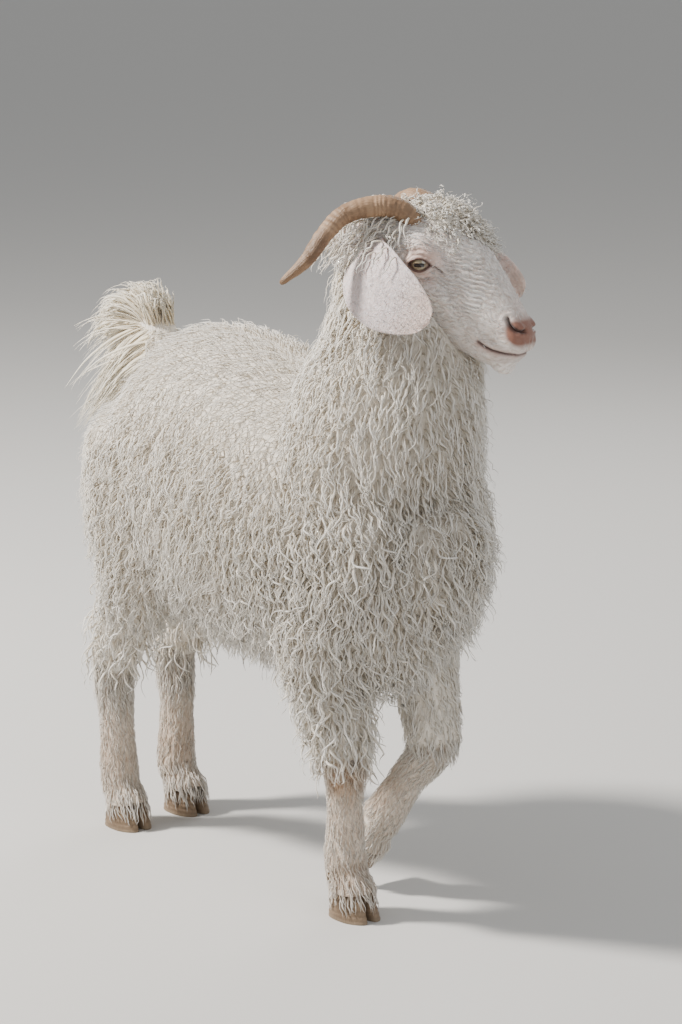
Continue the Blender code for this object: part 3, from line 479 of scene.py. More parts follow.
def eyeMaterial():
    made, tree, shader = newMaterial("eyeball", 0.12, Coat_Weight=1.0, Coat_Roughness=0.03)
    look = addNode(tree, "ShaderNodeSeparateXYZ", {0: readValue(tree, "look", "Vector")})
    x, z = look.outputs[0], look.outputs[2]
    far = addNode(tree, "ShaderNodeVectorMath", operation="LENGTH")
    flat = addNode(tree, "ShaderNodeCombineXYZ", {"X": x, "Y": 0.0, "Z": z})
    tree.links.new(flat.outputs[0], far.inputs[0])
    radius = far.outputs["Value"]
    rays = addNode(tree, "ShaderNodeTexNoise", {"Vector": flat.outputs[0], "Scale": 900.0, "Detail": 2.0}).outputs["Fac"]
    iris = mixColour(tree, rays, (0.25, 0.185, 0.10), (0.42, 0.35, 0.22))
    edge = maths(tree, "MULTIPLY", maths(tree, "SUBTRACT", radius, eye["iris"] * 0.72), 1 / (eye["iris"] * 0.28), clamp=True)
    iris = mixColour(tree, maths(tree, "MULTIPLY", edge, 0.8), iris, (0.10, 0.06, 0.03))
    wide, high = eye["pupil"]
    box = [maths(tree, "POWER", maths(tree, "DIVIDE", maths(tree, "ABSOLUTE", value), half), 4.0)
           for value, half in ((x, wide), (z, high))]
    inPupil = maths(tree, "LESS_THAN", maths(tree, "ADD", *box), 1.0)
    colour = mixColour(tree, inPupil, iris, (0.012, 0.010, 0.010))
    white = maths(tree, "GREATER_THAN", radius, eye["iris"])
    tree.links.new(mixColour(tree, white, colour, (0.30, 0.20, 0.15)), shader.inputs["Base Color"])
    return made


def plainRim():
    made, tree, shader = newMaterial("lidRim", 0.38)
    spots = addNode(tree, "ShaderNodeTexNoise", {"Vector": addNode(tree, "ShaderNodeTexCoord").outputs["Object"],
                                                "Scale": 700.0, "Detail": 2.0}).outputs["Fac"]
    tree.links.new(mixColour(tree, spots, (0.055, 0.030, 0.024), (0.20, 0.105, 0.08)), shader.inputs["Base Color"])
    bumpInto(tree, shader, spots, 0.3, 0.0005)
    return made


# Each coat takes a root colour, darkened as painted shade between the hairs, then a tip colour and a tone for single
# locks
fleece = coatMaterial("fleece", (0.62, 0.52, 0.38), (0.93, 0.90, 0.84), (0.90, 0.82, 0.69))
tailHair = coatMaterial("tailHair", (0.76, 0.65, 0.47), (0.93, 0.88, 0.76), (0.87, 0.74, 0.53))
faceHair = coatMaterial("faceHair", (0.46, 0.38, 0.33), (0.94, 0.92, 0.89), (0.66, 0.58, 0.53))
earHair = coatMaterial("earHair", (0.62, 0.52, 0.50), (0.90, 0.85, 0.83), (0.74, 0.64, 0.60))
legHair = coatMaterial("legHair", (0.44, 0.37, 0.29), (0.89, 0.85, 0.78), (0.70, 0.60, 0.48))
shortCoat = skinMaterial()
hornStuff = hornMaterial("ringedHorn", (0.36, 0.225, 0.13), (0.16, 0.09, 0.048), (0.20, 0.115, 0.06), 420.0)
hoofStuff = hornMaterial("hoofHorn", (0.31, 0.22, 0.14), (0.14, 0.092, 0.055), (0.24, 0.18, 0.12), 500.0)
eyeball, lidRim = eyeMaterial(), plainRim()
print("materials made")


# Skin

def trunkRows(coat):
    rows = []
    for at, deep, wide, drop in body["trunk"]:
        top = body["backHeight"] - drop + coat * body["coatBack"]
        low = body["backHeight"] - drop - body["chestDepth"] * deep - coat * body["coatBody"]
        half = body["barrelWidth"] / 2 * wide + coat * body["coatBody"]
        x = body["buttockX"] + (body["chestX"] - body["buttockX"]) * at
        rows.append((x, 0.0, (top + low) / 2, half, (top - low) / 2))
    return rows


def legRows(leg, coat):
    joints = np.asarray(leg["joints"])
    line = [joints[0]]
    for a, b in zip(joints, joints[1:]):
        line += [(a + b) / 2, b]
    return [(*p, a + coat, d + coat) for p, (a, d) in zip(line, leg["skin"])]


def bodyParts(coat):
    neck = [(*r[:3], r[3] + body["coatNeck"] * coat, r[4] + body["coatNeck"] * coat) for r in body["neck"]]
    parts = [tube("trunk", trunkRows(coat), 32, 40), tube("neck", neck, 28, 24), tube("dock", body["dock"], along=6)]
    parts += [tube(name, legRows(leg, body["coatLeg"] * coat)[:5], along=24) for name, leg in legs.items()]
    return parts


def lowerLeg(name, leg):
    rows = legRows(leg, 0.0018)
    end = np.array(rows[-1])
    end[:3] += (end[:3] - np.array(rows[-2])[:3]) * 0.35
    knee, pastern = np.array(rows[4]), np.array(rows[6])
    fore = name.startswith("fore")
    parts = [tube(name, rows[3:] + [tuple(end)], 28, 60, flatEnds=True)]
    shape = ((0.021, 0.021, 0.027) if fore else (0.016, 0.019, 0.030))
    parts.append(ball("joint", knee[:3] + ((0.003, 0, 0.002) if fore else (-0.008, 0, 0.006)), shape))
    for side in (-1, 1):
        parts.append(ball("fetlock", pastern[:3] + (-0.005, side * 0.008, 0.004), (0.0165, 0.0125, 0.019)))
    made = smoothUnion(name + "_skin", parts, 0.0028, 3)
    coronet = footFrame(leg)
    plane = meshObject("coronet", [coronet @ Vector(c) for c in
                                   [(x, y, z) for z in (0.0005, 0.3) for x, y in ((-1, -1), (1, -1), (1, 1), (-1, 1))]],
                       [(0, 3, 2, 1), (4, 5, 6, 7), (0, 1, 5, 4), (1, 2, 6, 5), (2, 3, 7, 6), (3, 0, 4, 7)])
    return combined(made, facingOut(plane), "INTERSECT")


def headBlank():
    rings = []
    a = np.arange(56) * 2 * math.pi / 56
    c, s = np.cos(a), np.sin(a)
    for u, top, low, half, level in curveThrough(head["shape"], 70):
        reach = np.where(s > 0, top - level, level - low)
        rings.append(np.stack([np.full(56, u), half * np.sign(c) * np.abs(c) ** 0.85,
                               level + reach * np.sign(s) * np.abs(s) ** 0.9], axis=1))
    parts = [lofted("skull", rings)]
    for name, (centre, radii) in head["bumps"].items():
        for side in (-1, 1):
            parts.append(ball(name, bySide([centre], side)[0], radii))
    for side in (-1, 1):
        reach = eye["radius"] + eye["lid"]
        parts.append(placed(ball("lids", (0, 0, 0), (reach * 1.12, reach, reach)), eyeFrame(side)))
    return smoothUnion("headSkin", parts, head["voxel"], 7)


def eyeFrame(side):
    out = Vector((eye["out"][0], side * eye["out"][1], eye["out"][2])).normalized()
    slit = Vector(eye["slit"])
    ahead = (slit - out * out.dot(slit)).normalized()
    up = ahead.cross(out)
    turn = Matrix((ahead, out, up if up.z > 0 else -up)).transposed()
    return Matrix.Translation((eye["at"][0], side * eye["at"][1], eye["at"][2])) @ turn.to_4x4()


def almond(count):
    length, height = eye["opening"]
    a = np.arange(count) * 2 * math.pi / count
    return length / 2 * np.cos(a), height / 2 * np.sin(a) * (1 - 0.30 * np.cos(a) ** 2)


# Creases round the eye, along the slit and up from it: path, depth and width
eyeFolds = ((((-0.0150, 0.0030), (-0.0080, 0.0098), (0.0030, 0.0112), (0.0140, 0.0060)), 0.0013, 0.0012),
            (((-0.0110, 0.0135), (0.0000, 0.0170), (0.0120, 0.0150)), 0.0008, 0.0014),
            (((-0.0130, -0.0060), (-0.0030, -0.0115), (0.0070, -0.0108), (0.0170, -0.0060)), 0.0011, 0.0010),
            (((-0.0090, -0.0140), (0.0030, -0.0178), (0.0150, -0.0150)), 0.0008, 0.0014),
            (((0.0105, -0.0004), (0.0170, -0.0036), (0.0240, -0.0088)), 0.0022, 0.0012))


def sculptHead(made):
    mesh = made.data
    spots, outs = pointsOf(mesh), outsOf(mesh)
    u, v, w = spots.T
    side = np.stack([u, np.abs(v), w], axis=1)
    line = np.array(head["mouth"])
    level = np.interp(u, line[:, 0], line[:, 1])
    inMouth = fade(u, 0.1655, 0.173)
    gap = w - level
    push = -0.0024 * bell(gap, 0.0011) * inMouth
    push += 0.0008 * bell(gap - 0.0050, 0.0034) * inMouth + 0.0006 * bell(gap + 0.0042, 0.0026) * inMouth
    push += 0.0010 * bell(np.linalg.norm(side - (0.163, 0.028, -0.036), axis=1), 0.004)
    far, share = lineDistance(side[:, [0, 2]], head["nostril"])
    beside = fade(np.abs(v), 0.006, 0.010)
    push += beside * (-0.0062 * bell(far, 0.0012 + 0.0012 * np.sin(share * 2.7)) + 0.0007 * bell(far - 0.0046, 0.0022))
    push += -0.0012 * bell(v, 0.0010) * fade(u, 0.203, 0.208) * fade(-w, -0.002, 0.003) * fade(w, -0.018, -0.015)
    for sign in (-1, 1):
        inEye = inFrame(spots, eyeFrame(sign))
        near = (inEye[:, 1] > -0.004) & (np.abs(inEye[:, 0]) < 0.04)
        for fold, deep, width in eyeFolds:
            far, along = lineDistance(inEye[:, [0, 2]], fold)
            push -= near * deep * bell(far, width) * np.sin(np.clip(along, 0.03, 0.97) * math.pi) ** 0.5
    ridges = ((0.100, 0.030, -0.034), (0.135, 0.027, -0.034), (0.160, 0.026, -0.030))
    near, along = lineDistance(side, ridges)
    push += 0.0010 * bell(near, 0.006)
    push += 0.0009 * bell(np.abs(v) - 0.013, 0.006) * fade(u, 0.10, 0.13) * fade(w, 0.0, 0.012)
    # Waves in the hair of the cheek
    blend = np.array([noise.noise(Vector(p) * 70.0) for p in spots])
    cheek = fade(u, 0.084, 0.100) * (1 - fade(u, 0.140, 0.165)) * fade(np.abs(v), 0.010, 0.018) * fade(w, -0.045, -0.025)
    push += 0.00115 * cheek * np.sin((w * 0.93 - u * 0.36 + blend * 0.0042) * 2 * math.pi / 0.0048)
    setPoints(mesh, spots + outs * push[:, None])
    return made


def openEyes(made):
    for side in (-1, 1):
        where = eyeFrame(side)
        x, z = almond(40)
        rings = [np.stack([x, np.full(40, y), z], axis=1) for y in (0.002, 0.030)]
        combined(made, placed(lofted("opening", rings), where), "DIFFERENCE")
        socket = ball("socket", (0, 0, 0), [eye["radius"] + 0.0002] * 3, 48, 32)
        combined(made, placed(socket, where), "DIFFERENCE")
    return made


def earPiece(line, side):
    rows = curveThrough(bySide(line, side), 44)
    spots, tangents = rows[:, :3], unit(np.gradient(rows[:, :3], axis=0))
    # Rows lean towards one common line, so that wide ones never cross
    tangents = unit(tangents * 0.3 + unit(spots[-1] - spots[0]) * 0.7)
    rings = []
    t = np.linspace(-1, 1, 30)[:, None]
    for k, (spot, along, half) in enumerate(zip(spots, tangents, rows[:, 3])):
        out = np.array(earSizes["out"]) * (1, side, 1)
        out = unit(out - along * np.dot(along, out))
        across = np.cross(along, out)
        share = k / (len(rows) - 1)
        half = half * math.sqrt(max(0.004, 1 - max(0.0, (share - 0.66) / 0.34) ** 2))
        cup = earSizes["cup"] * math.sin(math.pi * min(1.0, 0.25 + share * 0.85)) * half / 0.034
        thick = earSizes["thickness"] * (1.25 - 0.5 * share)
        ripple = 0.0005 * np.sin(t * 5.5 + share * 7.0) * share
        rise = cup * (1 - t * t) + ripple
        full = np.maximum(earSizes["rim"], thick * np.sqrt(1 - t ** 4))
        outer = spot + across * half * t + out * rise
        rings.append(np.concatenate([outer, (outer - out * full)[::-1]]))
    return placed(lofted("ear", rings), headFrame(0.0))


def paintSkin(made):
    # Colour, hairiness, roughness and the direction of the hair, from where a point lies on the animal
    mesh = made.data
    spots = pointsOf(mesh)
    local = inFrame(spots, headFrame())
    u, v, w = local.T
    side = np.stack([u, np.abs(v), w], axis=1)
    onHead = (spots[:, 2] > 0.66).astype(float)
    colour = np.tile((0.93, 0.89, 0.85), (len(spots), 1))
    hairy, rough = np.ones(len(spots)), np.full(len(spots), 0.62)

    def paint(mask, tone, hairLeft=1.0, gloss=None):
        nonlocal colour, hairy, rough
        mask = np.clip(mask * onHead, 0, 1)
        colour = colour * (1 - mask[:, None]) + np.array(tone) * mask[:, None]
        hairy = hairy * (1 - mask * (1 - hairLeft))
        if gloss is not None:
            rough = rough * (1 - mask) + gloss * mask

    paint(fade(u, 0.135, 0.20) * 0.45, (0.84, 0.73, 0.67))
    paint(bell(np.abs(v), 0.016) * fade(u, 0.12, 0.19) * fade(w, -0.005, 0.015) * 0.35, (0.80, 0.62, 0.55), 0.6)
    brow = bell(np.linalg.norm((side - (0.072, 0.044, 0.008)) / (1.5, 1.2, 0.8), axis=1), 0.013)
    paint(brow * 0.85, (0.74, 0.50, 0.41), 0.35)
    around = np.linalg.norm((side - (0.072, 0.050, -0.010)) / (1.35, 1.0, 0.9), axis=1)
    paint(bell(around, 0.0145) * 0.9, (0.70, 0.45, 0.37), 0.3)
    near, _ = lineDistance(side, ((0.082, 0.043, -0.014), (0.096, 0.038, -0.020)))
    paint(bell(near, 0.0035) * 0.6, (0.70, 0.47, 0.40), 0.4)
    far, share = lineDistance(side[:, [0, 2]], head["nostril"])
    pad = np.clip(bell(np.hypot((u - 0.2010) / 1.20, w - 0.0020), 0.0120) * 2.2, 0, 1) * fade(w, -0.016, -0.008)
    paint(pad, (0.255, 0.120, 0.083), 0.15, 0.42)
    # Painted shade: the nostril's slit is painted nearly black
    paint(bell(far, 0.0016 + 0.0013 * np.sin(share * 2.7)) * fade(np.abs(v), 0.006, 0.010) * 1.2,
          (0.05, 0.022, 0.018), 0.0, 0.5)
    line = np.array(head["mouth"])
    gap = w - np.interp(u, line[:, 0], line[:, 1])
    inMouth = fade(u, 0.166, 0.172)
    paint(bell(gap + 0.001, 0.0052) * inMouth * 0.75, (0.56, 0.36, 0.30), 0.3, 0.5)
    paint(bell(gap + 0.010, 0.010) * fade(u, 0.19, 0.205) * 0.5, (0.56, 0.50, 0.48), 0.6)
    # Painted shade: a dark line in the crease where the lips meet
    paint(bell(gap, 0.0019) * inMouth, (0.07, 0.035, 0.03), 0.0, 0.5)
    for sign in (-1, 1):
        inEye = inFrame(local, eyeFrame(sign))
        x, z = almond(48)
        edge, _ = lineDistance(inEye[:, [0, 2]], np.stack([x, z], axis=1)[list(range(48)) + [0]])
        front = inEye[:, 1] > 0.002
        paint(bell(edge, 0.0018) * front, (0.10, 0.055, 0.045), 0.0, 0.4)
        # Painted shade in the creases round the eye
        for fold, deep, width in eyeFolds:
            far, _ = lineDistance(inEye[:, [0, 2]], fold)
            paint(bell(far, width * 0.8) * front * 0.45 * (inEye[:, 1] > 0), (0.45, 0.26, 0.20), 0.2)
        # Painted shade: the deepest crease, at the front corner of the eye, is painted nearly black
        far, _ = lineDistance(inEye[:, [0, 2]], eyeFolds[-1][0])
        paint(bell(far, 0.0012) * front * 0.9, (0.12, 0.065, 0.05), 0.0)
    turn = math.radians(32)
    grain = np.stack([u * math.cos(turn) + w * math.sin(turn), v, w * math.cos(turn) - u * math.sin(turn)], axis=1)
    low = spots[:, 2] < 0.40
    grain[low] = spots[low][:, [2, 0, 1]]
    colour[low] = (0.78, 0.70, 0.60)
    setValues(mesh, "tint", np.concatenate([colour, np.ones((len(spots), 1))], axis=1), "FLOAT_COLOR")
    setValues(mesh, "grain", grain, "FLOAT_VECTOR")
    setValues(mesh, "hairy", hairy)
    setValues(mesh, "rough", rough)


def finishEar(mesh, side, line):
    spots = inFrame(pointsOf(mesh), headFrame(0.0))
    rows = curveThrough(bySide(line, side), 44)
    _, share = lineDistance(spots, rows[:, :3])
    colour = np.tile((0.80, 0.71, 0.71), (len(spots), 1))
    warm = fade(share, 0.65, 0.95)[:, None] * 0.5
    colour = colour * (1 - warm) + np.array((0.80, 0.60, 0.48)) * warm
    specks = np.array([noise.noise(Vector(p) * 420.0) * 0.6 + noise.noise(Vector(p) * 170.0) * 0.4 for p in spots])
    colour = colour * (1 - 0.30 * fade(specks, 0.10, 0.45))[:, None]
    grain = np.stack([share * 0.15, spots[:, 0], spots[:, 2]], axis=1)
    setValues(mesh, "tint", np.concatenate([colour, np.ones((len(spots), 1))], axis=1), "FLOAT_COLOR")
    setValues(mesh, "grain", grain, "FLOAT_VECTOR")
    setValues(mesh, "hairy", np.full(len(spots), 0.55))
    setValues(mesh, "rough", np.full(len(spots), 0.55))


def makeSkin():
    trunk = smoothUnion("skin", bodyParts(0.0), 0.009, 4)
    headSkin = openEyes(sculptHead(headBlank()))
    placed(headSkin, headFrame())
    headOnly = bareCopy(headSkin)
    combined(trunk, headSkin)
    for name, leg in legs.items():
        combined(trunk, lowerLeg(name, leg))
    paintSkin(trunk)
    paintSkin(headOnly)
    ears = []
    for word, side in (("right", -1), ("left", 1)):
        ear = earPiece(earSizes[word], side)
        finishEar(ear.data, side, earSizes[word])
        ears.append(ear)
    earSkin = joined("earSkin", [bareCopy(ear) for ear in ears])
    return joined("skin", [trunk] + ears), headOnly, earSkin


def bareCopy(obj):
    made = obj.copy()
    made.data = obj.data.copy()
    bpy.context.scene.collection.objects.link(made)
    return made


skin, headOnly, earSkin = makeSkin()
print("skin made", len(skin.data.polygons))


# Hooves

clawSizes = {"height": 0.031, "coronet": (0.0210, 0.0205, 0.001), "sole": (0.0290, 0.0245, 0.006),
             "cleft": 0.0016, "around": 48, "along": 26,
             "dewclaw": ((-0.014, -0.011, 0.022, 0.0060, 0.0060), (-0.026, -0.013, 0.012, 0.0050, 0.0045))}


def makeHoof(name, leg):
    parts = []
    around, along = clawSizes["around"], clawSizes["along"]
    a = np.arange(around) * 2 * math.pi / around
    c, s = np.cos(a), np.sin(a)
    for side in (-1, 1):
        rings, grooves = [], []
        levels = np.concatenate([[0.0, 0.015], np.linspace(0.05, 0.96, along - 4), [0.985, 1.0]])
        for down in levels:
            half, wide, ahead = (p + (q - p) * down for p, q in zip(clawSizes["coronet"], clawSizes["sole"]))
            inset = 0.0009 * fade(down, 0.96, 1.0) + 0.0006 * (1 - fade(down, 0.0, 0.03))
            ripple = 0.00035 * np.sin(down * 34.0) * (down > 0.04) * (down < 0.95)
            x = np.sign(c) * np.abs(c) ** 0.75
            y = 0.5 + 0.5 * np.sign(s) * np.abs(s) ** 0.75
            narrow = 1 - 0.32 * np.maximum(0.0, x) ** 2
            grow = (half - inset + ripple) / half
            rings.append(np.stack([ahead + half * x * grow,
                                   side * (clawSizes["cleft"] / 2 + wide * y * narrow * grow + inset * 0.4),
                                   np.full(around, -0.00015 - down * (clawSizes["height"] - 0.00015))], axis=1))
            # Painted shade: the grooves, where the growth rings sink in, are marked to be painted darker
            grooves.append(np.full(around, max(0.0, -math.sin(down * 34.0)) * 0.6))
        made = lofted(name, rings)
        spots = pointsOf(made.data)
        setValues(made.data, "groove", np.concatenate(grooves + [[0, 0]]))
        setValues(made.data, "grain", spots[:, [2, 0, 1]], "FLOAT_VECTOR")
        setValues(made.data, "end", fade(-spots[:, 2], 0.024, 0.031) * 0.6)
        dew = tube("dewclaw", bySide(clawSizes["dewclaw"], side), 20, 12)
        spots = pointsOf(dew.data)
        for key in ("groove", "end"):
            setValues(dew.data, key, np.full(len(spots), 0.15))
        setValues(dew.data, "grain", spots[:, [2, 0, 1]], "FLOAT_VECTOR")
        parts += [made, dew]
    made = placed(joined("claws_" + name, parts), footFrame(leg))
    finishWith(made, hoofStuff)
    return made


hooves = {name: makeHoof(name, leg) for name, leg in legs.items()}


# Coat

def makeLockTree(name, points):
    # A lock is swept along each path of edges, with a star or a triangle for its section
    tree = bpy.data.node_groups.new(name, "GeometryNodeTree")
    groupSockets(tree, (("Paths", "NodeSocketGeometry", None), ("Groove", "NodeSocketFloat", 0.3),
                        ("Flatness", "NodeSocketFloat", 0.7), ("Patch", "NodeSocketFloat", 0.003),
                        ("Finish", "NodeSocketMaterial", None)), (("Locks", "NodeSocketGeometry", None),))
    start, end = addNode(tree, "NodeGroupInput"), addNode(tree, "NodeGroupOutput")

    def named(label, kind):
        return addNode(tree, "GeometryNodeInputNamedAttribute", {"Name": label}, data_type=kind).outputs[0]

    paths = addNode(tree, "GeometryNodeMeshToCurve", {"Mesh": start.outputs["Paths"]})
    thick = addNode(tree, "GeometryNodeSetCurveRadius", {"Curve": paths.outputs[0], "Radius": named("thick", "FLOAT")})
    upright = addNode(tree, "GeometryNodeSetCurveNormal", {"Curve": thick.outputs[0],
                                                          "Normal": named("out", "FLOAT_VECTOR")}, mode="FREE")
    if points:
        less = addNode(tree, "ShaderNodeMath", {0: 1.0, 1: start.outputs["Groove"]}, operation="SUBTRACT")
        section = addNode(tree, "GeometryNodeCurveStar", {"Points": points, "Inner Radius": less.outputs[0],
                                                         "Outer Radius": 1.0})
    else:
        section = addNode(tree, "GeometryNodeCurvePrimitiveCircle", {"Resolution": 3, "Radius": 1.0})
    kept = addNode(tree, "GeometryNodeStoreNamedAttribute", {"Geometry": section.outputs[0], "Name": "section",
                                                            "Value": addNode(tree, "GeometryNodeInputPosition").outputs[0]},
                   data_type="FLOAT_VECTOR", domain="POINT")
    squeeze = addNode(tree, "ShaderNodeCombineXYZ", {"X": start.outputs["Flatness"], "Y": 1.0, "Z": 1.0})
    flat = addNode(tree, "GeometryNodeTransform", {"Geometry": kept.outputs[0], "Scale": squeeze.outputs[0]})
    radius = addNode(tree, "GeometryNodeInputRadius")
    swept = addNode(tree, "GeometryNodeCurveToMesh", {"Curve": upright.outputs[0], "Profile Curve": flat.outputs[0],
                                                     "Scale": radius.outputs[0], "Fill Caps": True})
    smooth = addNode(tree, "GeometryNodeSetShadeSmooth", {"Geometry": swept.outputs[0]})
    parts = addNode(tree, "ShaderNodeSeparateXYZ", {0: named("section", "FLOAT_VECTOR")})
    offset = addNode(tree, "ShaderNodeCombineXYZ", {"X": named("along", "FLOAT"), "Y": parts.outputs[1], "Z": 0.0})
    small = addNode(tree, "ShaderNodeVectorMath", {0: offset.outputs[0]}, operation="SCALE")
    half = addNode(tree, "ShaderNodeMath", {0: start.outputs["Patch"], 1: 0.5}, operation="MULTIPLY")
    tree.links.new(half.outputs[0], small.inputs["Scale"])
    place = addNode(tree, "ShaderNodeVectorMath", {0: named("rootPlace", "FLOAT_VECTOR"), 1: small.outputs[0]},
                    operation="ADD")
    mapped = addNode(tree, "GeometryNodeStoreNamedAttribute", {"Geometry": smooth.outputs[0], "Name": "OFBake",
                                                              "Value": place.outputs[0]},
                     data_type="FLOAT2", domain="CORNER")
    real = addNode(tree, "GeometryNodeRealizeInstances", {"Geometry": mapped.outputs[0]})
    done = addNode(tree, "GeometryNodeSetMaterial", {"Geometry": real.outputs[0], "Material": start.outputs["Finish"]})
    tree.links.new(done.outputs[0], end.inputs["Locks"])
    return tree


lockTrees = {"lock": makeLockTree("ridgedLocks", 3), "strand": makeLockTree("fineStrands", 0)}
coatPieces = []


def sweep(name, paths, kind, finish, flatness=0.7, groove=0.35):
    # paths: spots (n, m, 3), outs (n, m, 3), thick (n, m), place (n, 2) and own (n)
    count, steps = paths["thick"].shape
    edges = np.stack([np.arange(count * steps - 1), np.arange(1, count * steps)], axis=1)
    edges = edges[(edges[:, 1] % steps) > 0]
    guide = bpy.data.meshes.new(name)
    guide.vertices.add(count * steps)
    guide.vertices.foreach_set("co", paths["spots"].astype(np.float32).ravel())
    guide.edges.add(len(edges))
    guide.edges.foreach_set("vertices", edges.astype(np.int32).ravel())
    setValues(guide, "thick", paths["thick"])
    setValues(guide, "out", paths["outs"], "FLOAT_VECTOR")
    setValues(guide, "along", np.tile(np.linspace(0, 1, steps), count))
    setValues(guide, "own", np.repeat(paths["own"], steps))
    place = np.concatenate([paths["place"], np.zeros((count, 1))], axis=1)
    setValues(guide, "rootPlace", np.repeat(place, steps, axis=0), "FLOAT_VECTOR")
    obj = bpy.data.objects.new(name, guide)
    bpy.context.scene.collection.objects.link(obj)
    tree = lockTrees[kind]
    modifier = obj.modifiers.new("locks", "NODES")
    modifier.node_group = tree
    wanted = {"Groove": groove, "Flatness": flatness, "Patch": 0.003, "Finish": finish}
    for item in tree.interface.items_tree:
        if item.item_type == "SOCKET" and item.in_out == "INPUT" and item.name in wanted:
            modifier[item.identifier] = wanted[item.name]
    graph = bpy.context.evaluated_depsgraph_get()
    mesh = bpy.data.meshes.new_from_object(obj.evaluated_get(graph))
    obj.modifiers.clear()
    obj.data = mesh
    for spare in ("thick", "out", "rootPlace", "radius", "tilt"):
        if spare in mesh.attributes:
            mesh.attributes.remove(mesh.attributes[spare])
    mesh.transform(toShared)
    facingOut(obj)
    coatPieces.append(obj)
    print(name, count, "locks", len(cornersOf(mesh)), "triangles")
    return obj


def rootsOn(obj, spacing, rng, tries, allowed=None):
    # Roots at least a spacing apart, where spacing may change over the surface
    mesh = obj.data
    spots, outs, index = pointsOf(mesh), outsOf(mesh), cornersOf(mesh)
    corners, normals = spots[index], outs[index]
    area = np.linalg.norm(np.cross(corners[:, 1] - corners[:, 0], corners[:, 2] - corners[:, 0]), axis=1)
    picks = rng.choice(len(area), tries, p=area / area.sum())
    a, b = rng.random(tries), rng.random(tries)
    a, b = np.where(a + b > 1, 1 - a, a), np.where(a + b > 1, 1 - b, b)
    share = np.stack([1 - a - b, a, b], axis=1)[:, :, None]
    points, ups = (corners[picks] * share).sum(axis=1), unit((normals[picks] * share).sum(axis=1))
    if allowed is not None:
        ok = allowed(points, ups)
        points, ups = points[ok], ups[ok]
    near = np.broadcast_to(spacing(points) if callable(spacing) else spacing, len(points))
    cell = float(near.max())
    grid, kept = {}, []
    for i, (p, r) in enumerate(zip(points, near)):
        key = tuple((p // cell).astype(int))
        crowd = [j for dx in (-1, 0, 1) for dy in (-1, 0, 1) for dz in (-1, 0, 1)
                 for j in grid.get((key[0] + dx, key[1] + dy, key[2] + dz), ())]
        if crowd and (((points[crowd] - p) ** 2).sum(axis=1) < r * r).any():
            continue
        grid.setdefault(key, []).append(i)
        kept.append(i)
    return points[kept], ups[kept]


def swirl(points, scale, seed):
    return np.array([noise.noise(Vector(p) * scale + Vector((seed, 0, 0))) for p in points])


def hangingPaths(roots, ups, flow, size, surface, rng, steps=12):
    # Each lock leaves its root outwards, then falls along the flow and never goes back into the body
    count = len(roots)
    t = np.linspace(0, 1, steps)
    turn = swirl(roots, 9.0, 3.0)[:, None] * size.get("swirl", 0.35) + rng.normal(0, size.get("stray", 0.16), (count, 1))
    flow = unit(flow + np.cross(ups, flow) * turn)
    side = unit(np.cross(ups, flow) + 1e-6)
    length, reach = size["length"][:, None], size["reach"][:, None]
    spots = np.zeros((count, steps, 3))
    outs = np.zeros((count, steps, 3))
    spots[:, 0], outs[:, 0] = roots - ups * 0.003, ups
    lift = size.get("lift", 0.75)
    for k in range(1, steps):
        bend = fade(t[k], 0.0, 0.45)
        along = unit(ups * (1 - bend) * lift + flow * (0.35 + 0.65 * bend))
        moved = spots[:, k - 1] + along * length / (steps - 1)
        level = reach[:, 0] * fade(t[k], -0.1, 0.38)
        for i in range(count):
            spot, out, _, _ = surface.find_nearest(Vector(moved[i]))
            out = np.array(out)
            over = float(np.dot(moved[i] - spot, out))
            if over < level[i]:
                moved[i] += out * (level[i] - over) * 0.7
            outs[i, k] = out
        spots[:, k] = moved
    outs = unit(outs * 0.6 + ups[:, None] * 0.4)
    phase = rng.uniform(0, 2 * math.pi, (count, 1))
    wave = size["wave"][:, None] * (0.30 + 0.70 * t) * fade(t, 0.0, 0.25)
    angle = phase + 2 * math.pi * size["cycles"][:, None] * t * (0.85 + 0.3 * t)
    spots += side[:, None] * (wave * np.sin(angle))[:, :, None]
    spots += outs * (wave * 0.75 * np.cos(angle))[:, :, None]
    curl = fade(t, 0.45, 1.0) ** 1.4 * np.broadcast_to(size.get("hook", 0.0), count)[:, None]
    spots += side[:, None] * (curl * rng.normal(0, 1, (count, 1)))[:, :, None]
    spots += outs * (curl * np.abs(rng.normal(0.5, 0.4, (count, 1))))[:, :, None]
    if "gather" in size:
        # Neighbours lean towards one leader, so that the coat parts into pointed locks
        leaders = rng.choice(count, count // 4, replace=False)
        tree = KDTree(len(leaders))
        for k, leader in enumerate(leaders):
            tree.insert(roots[leader], k)
        tree.balance()
        chief = leaders[[tree.find(root)[1] for root in roots]]
        pull = np.broadcast_to(size["gather"], count)[:, None] * t ** 1.6
        spots += (spots[chief] - spots) * pull[:, :, None]
    form = np.interp(t, (0, 0.12, 0.35, 0.70, 0.90, 1.0), (0.80, 1.0, 0.90, 0.58, 0.28, 0.05))
    thick = size["wide"][:, None] * form * (1 + 0.10 * np.sin(angle * 2))
    return {"spots": spots, "outs": outs, "thick": thick, "own": rng.random(count)}


def chosen(paths, keep):
    return {key: value[keep] for key, value in paths.items()}


def unrolled(points, low, high, centre=(0.0, 0.48)):
    # The trunk and neck rolled out flat round the spine
    around = np.arctan2(points[:, 1] - centre[0], points[:, 2] - centre[1]) / (2 * math.pi) + 0.5
    return np.stack([0.02 + 0.96 * (points[:, 0] - low) / (high - low), 0.02 + 0.96 * around], axis=1)


